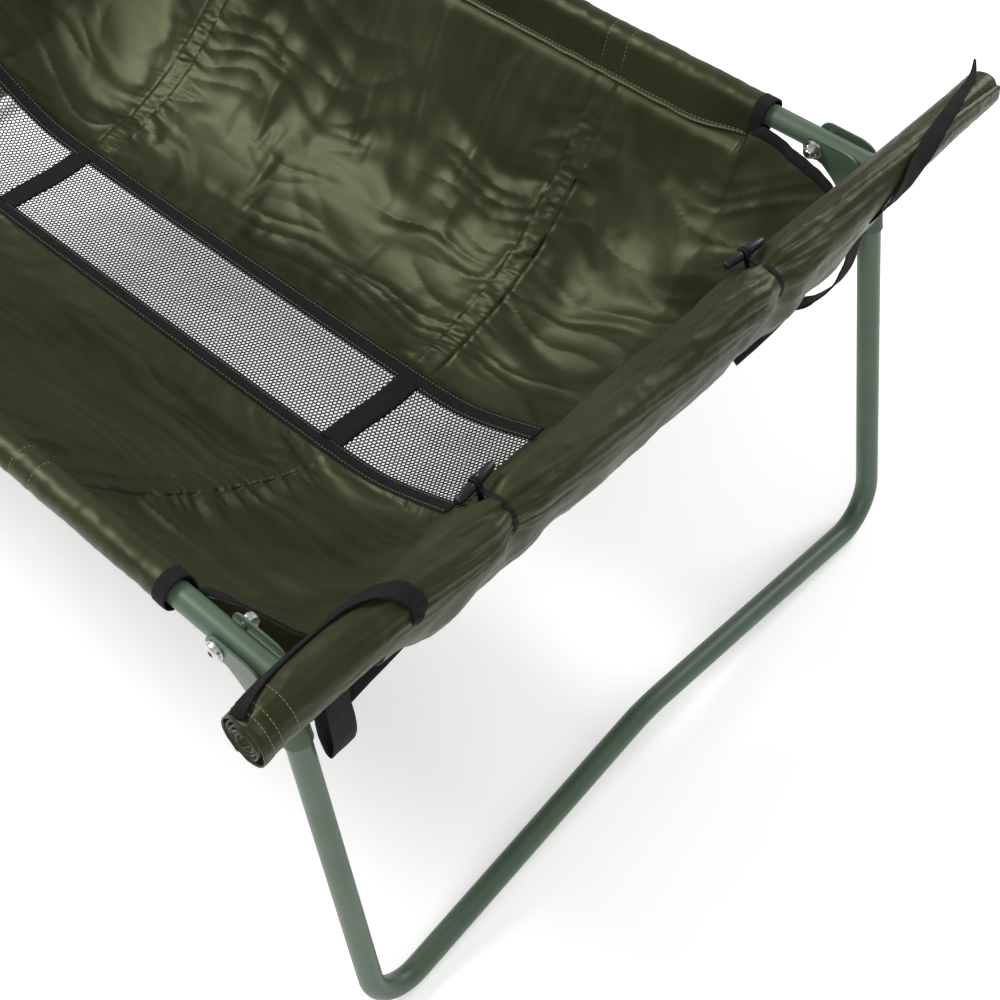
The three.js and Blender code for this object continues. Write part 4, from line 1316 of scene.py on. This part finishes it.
def binding_pieces():
    roll_ribbon("cover_binding_near",
                [(2, 104, 2.5), (24, 122, 1), (55, 138, 1), (95, 140, 1.5), (128, 118, 2.5), (150, 84, 3),
                 (158, 44, 2.5), (150, 8, 1.5)], (13, 10, 9, 13, 17, 17, 14, 7), 101)
    length = (ROLL_FAR - ROLL_NEAR) / MM
    roll_ribbon("cover_binding_far",
                [(length + y, turn, lift) for y, turn, lift in
                 ((6, 128, 9), (-22, 104, 2.5), (-70, 78, 1.5), (-120, 52, 1.5), (-165, 18, 1.5),
                  (-196, -14, 1.5), (-222, -38, 1))], (1.5, 8, 13, 18, 19, 14, 7), 102)
    for side, points in (("near", [(27, -352, 400), (29, -318, 412), (30, -285, 421), (28, -262, 429)]),
                         ("far", [(24, 150, 381), (29, 176, 391), (32, 205, 401), (33, 228, 411)])):
        path = smooth_line([(HALF_LENGTH + x * MM, CENTRE_Y + y * MM, z * MM) for x, y, z in points], 50)
        out = np.broadcast_to((0.8, 0.0, 0.6), path.shape)
        flatten(ribbon(f"cover_binding_{side}_tail", path, out, 14 * MM, 1.3 * MM, 5, 0.6 * MM, 104))


def toggle_shape():
    """Tapered bar with rounded ends and a waist for its elastic, along +Z."""
    half = [(0, 24), (2.2, 24), (3.2, 23.4), (3.8, 22), (4.5, 12), (4.9, 6), (4.7, 4.4), (3.5, 3.2)]
    profile = [(radius, -height) for radius, height in half] + [(3.3, 0)] + half[::-1]
    return turned(stepped(0, *profile), 32)


def toggle_loop(at, waist):
    """Flat elastic round the roll, drawn to the toggle's waist, and its two turns there."""
    towards = math.radians(148)  # where round the roll the toggle is
    turn = towards + np.linspace(0, 2 * math.pi, 90)
    path = roll_point(np.full_like(turn, at), turn, 1.2 * MM, 0.6)
    away = np.minimum(turn - towards, towards + 2 * math.pi - turn)
    pulled = np.exp(-((away / 0.36) ** 2))[:, None] * 0.95
    path = path * (1 - pulled) + waist * pulled
    side_way = np.array([0.0, 1.0, 0.0])
    out = np.cross(side_way, unit(np.gradient(path, axis=0)))
    section = [(w, -0.7) for w in (-2.6, -1.3, 0, 1.3, 2.6)] + [(w, 0.7) for w in (2.6, 1.3, 0, -1.3, -2.6)]
    ring = np.stack([path + out * depth * MM + side_way * w * MM for w, depth in section], 1)
    parts = [(ring.reshape(-1, 3), rod_faces(len(path), len(section)))]
    turn = np.linspace(0, 2 * math.pi, 25)
    for shift in (-1.6 * MM, 1.6 * MM):
        wrap = np.stack([waist[0] + 4.6 * MM * np.cos(turn), np.full_like(turn, waist[1] + shift),
                         waist[2] + 4.6 * MM * np.sin(turn)], 1)
        parts.append(tube(wrap, 1.5 * MM, 10))
    return parts


def toggle_pieces():
    shape, faces = toggle_shape()
    for (side, y), lean in zip(TOGGLE_Y.items(), (7, -5)):
        low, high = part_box(f"toggle_{side}")
        centre = (low + high) / 2
        stands = (Matrix.Translation(centre) @ Matrix.Rotation(math.radians(lean), 4, "Z")
                  @ Matrix.Rotation(math.pi / 2, 4, "X"))
        piece(f"toggle_{side}_bar", placed(shape, stands), faces, BLACK_PLASTIC, "cradle", "black_plastic",
              [f"toggle_{side}"], sharp=50)
        piece(f"toggle_loop_{side}_elastic", *joined(toggle_loop(CENTRE_Y + y, np.array(centre))), ELASTIC,
              "cradle", "black_webbing", [f"toggle_loop_{side}"])


def tie_strap(name, points, x, y, z, width, replaces, seed):
    """A hanging strap through points given in millimetres from (x, y, z)."""
    path = smooth_line([(x + i * MM, y + j * MM, z + k * MM) for i, j, k in points], 90)
    normals = np.cross(np.gradient(path, axis=0), np.broadcast_to((0, 1, 0), path.shape))
    ribbon(name, path, unit(normals), width, 1.6 * MM, 9, 0.8 * MM, seed, replaces)
    return path[-1]


def tie_pieces():
    x, z = HALF_LENGTH + 28 * MM, 437 * MM
    tie_strap("tie_strap_near_loop", [(2, 0, 4), (8, -1, -30), (9, 2, -66), (3, 3, -90), (-4, 2, -82),
                                      (-7, -1, -45), (-5, 0, 2)],
              x, CENTRE_Y - 354 * MM, z, 24 * MM, ["tie_strap_near"], 111)
    tip = tie_strap("tie_strap_far_end", [(-4, 0, 2), (-5, 4, -40), (-8, 8, -78), (-15, 6, -108),
                                          (-27, -6, -128), (-42, -20, -136)],
                    x, CENTRE_Y + 334 * MM, z, 20 * MM, ["tie_strap_far"], 112)
    rng = np.random.default_rng(5)
    parts = []
    for across in np.linspace(-0.5, 0.5, 16) * 18 * MM:
        start = tip + np.array([1.5 * MM, across, 0.6 * MM])
        reach = rng.uniform(6, 13) * MM
        sway = rng.uniform(-2.5, 2.5, 2) * MM
        end = start + np.array([-reach * 0.8, sway[0] - 4 * MM, -reach * 0.5 + sway[1] * 0.4])
        middle = (start + end) / 2 + np.array([0, 0, -1.0 * MM])
        parts.append(tube(smooth_line([start, middle, end], 8), 0.45 * MM, 6))
    piece("tie_strap_far_frays", *joined(parts), NET, "cradle", "black_webbing")


cover_pieces()
cover_root()
binding_pieces()
toggle_pieces()
tie_pieces()


# ---- floor, light and camera ----
def studio():
    white = Finish("studio_floor", (0.93, 0.93, 0.925), 0.8, Emission_Strength=0.3)
    white.coloured(white.noise(1.5), (0.0, (0.925, 0.925, 0.92)), (1.0, (0.94, 0.94, 0.935)))
    white.inputs["Emission Color"].default_value = (1, 1, 1, 1)
    reach = 12.0
    mesh = bpy.data.meshes.new("studio_floor")
    mesh.from_pydata([(-reach, -reach, 0), (reach, -reach, 0), (reach, reach, 0), (-reach, reach, 0)], [],
                     [(0, 1, 2, 3)])
    mesh.materials.append(white.material)
    floor = bpy.data.objects.new("studio_floor", mesh)
    bpy.context.scene.collection.objects.link(floor)
    world = bpy.data.worlds.new("studio")
    world.use_nodes = True
    background = world.node_tree.nodes["Background"]
    background.inputs["Color"].default_value = (1, 1, 1, 1)
    background.inputs["Strength"].default_value = 0.5
    bpy.context.scene.world = world
    bpy.context.scene.view_settings.view_transform = "Standard"


def area_light(name, place, target, size, power, colour=(1, 1, 1)):
    data = bpy.data.lights.new(name, "AREA")
    data.shape = "DISK"
    data.size = size
    data.energy = power
    data.color = colour
    light = bpy.data.objects.new(name, data)
    light.location = place
    light.rotation_euler = (Vector(target) - Vector(place)).to_track_quat("-Z", "Y").to_euler()
    bpy.context.scene.collection.objects.link(light)


def camera():
    """High over one corner, looking down along the sling."""
    yaw, pitch, roll = (math.radians(a) for a in (47.0639, 47.5577, -3.2068))
    forward = Vector((-math.sin(yaw) * math.cos(pitch), math.cos(yaw) * math.cos(pitch), -math.sin(pitch)))
    right = forward.cross(Vector((0, 0, 1))).normalized()
    up = right.cross(forward)
    tilted_right = math.cos(roll) * right + math.sin(roll) * up
    tilted_up = -math.sin(roll) * right + math.cos(roll) * up
    data = bpy.data.cameras.new("camera")
    data.sensor_width = 36
    data.lens = 64.007
    data.shift_x = 0.166
    data.shift_y = -0.128
    data.clip_end = 50
    eye = bpy.data.objects.new("camera", data)
    axes = Matrix((tilted_right, tilted_up, -forward)).transposed().to_4x4()
    eye.matrix_world = Matrix.Translation((1.0950, CENTRE_Y - 0.8248, 1.5456)) @ axes
    bpy.context.scene.collection.objects.link(eye)
    bpy.context.scene.camera = eye


studio()
area_light("key", (-1.9, -0.9, 2.6), (0.1, 0, 0.3), 1.2, 88)
area_light("fill", (1.8, -2.2, 2.0), (0.2, 0, 0.3), 1.8, 22)
area_light("rim", (0.6, 2.6, 1.9), (0.3, 0, 0.3), 1.4, 40)
camera()
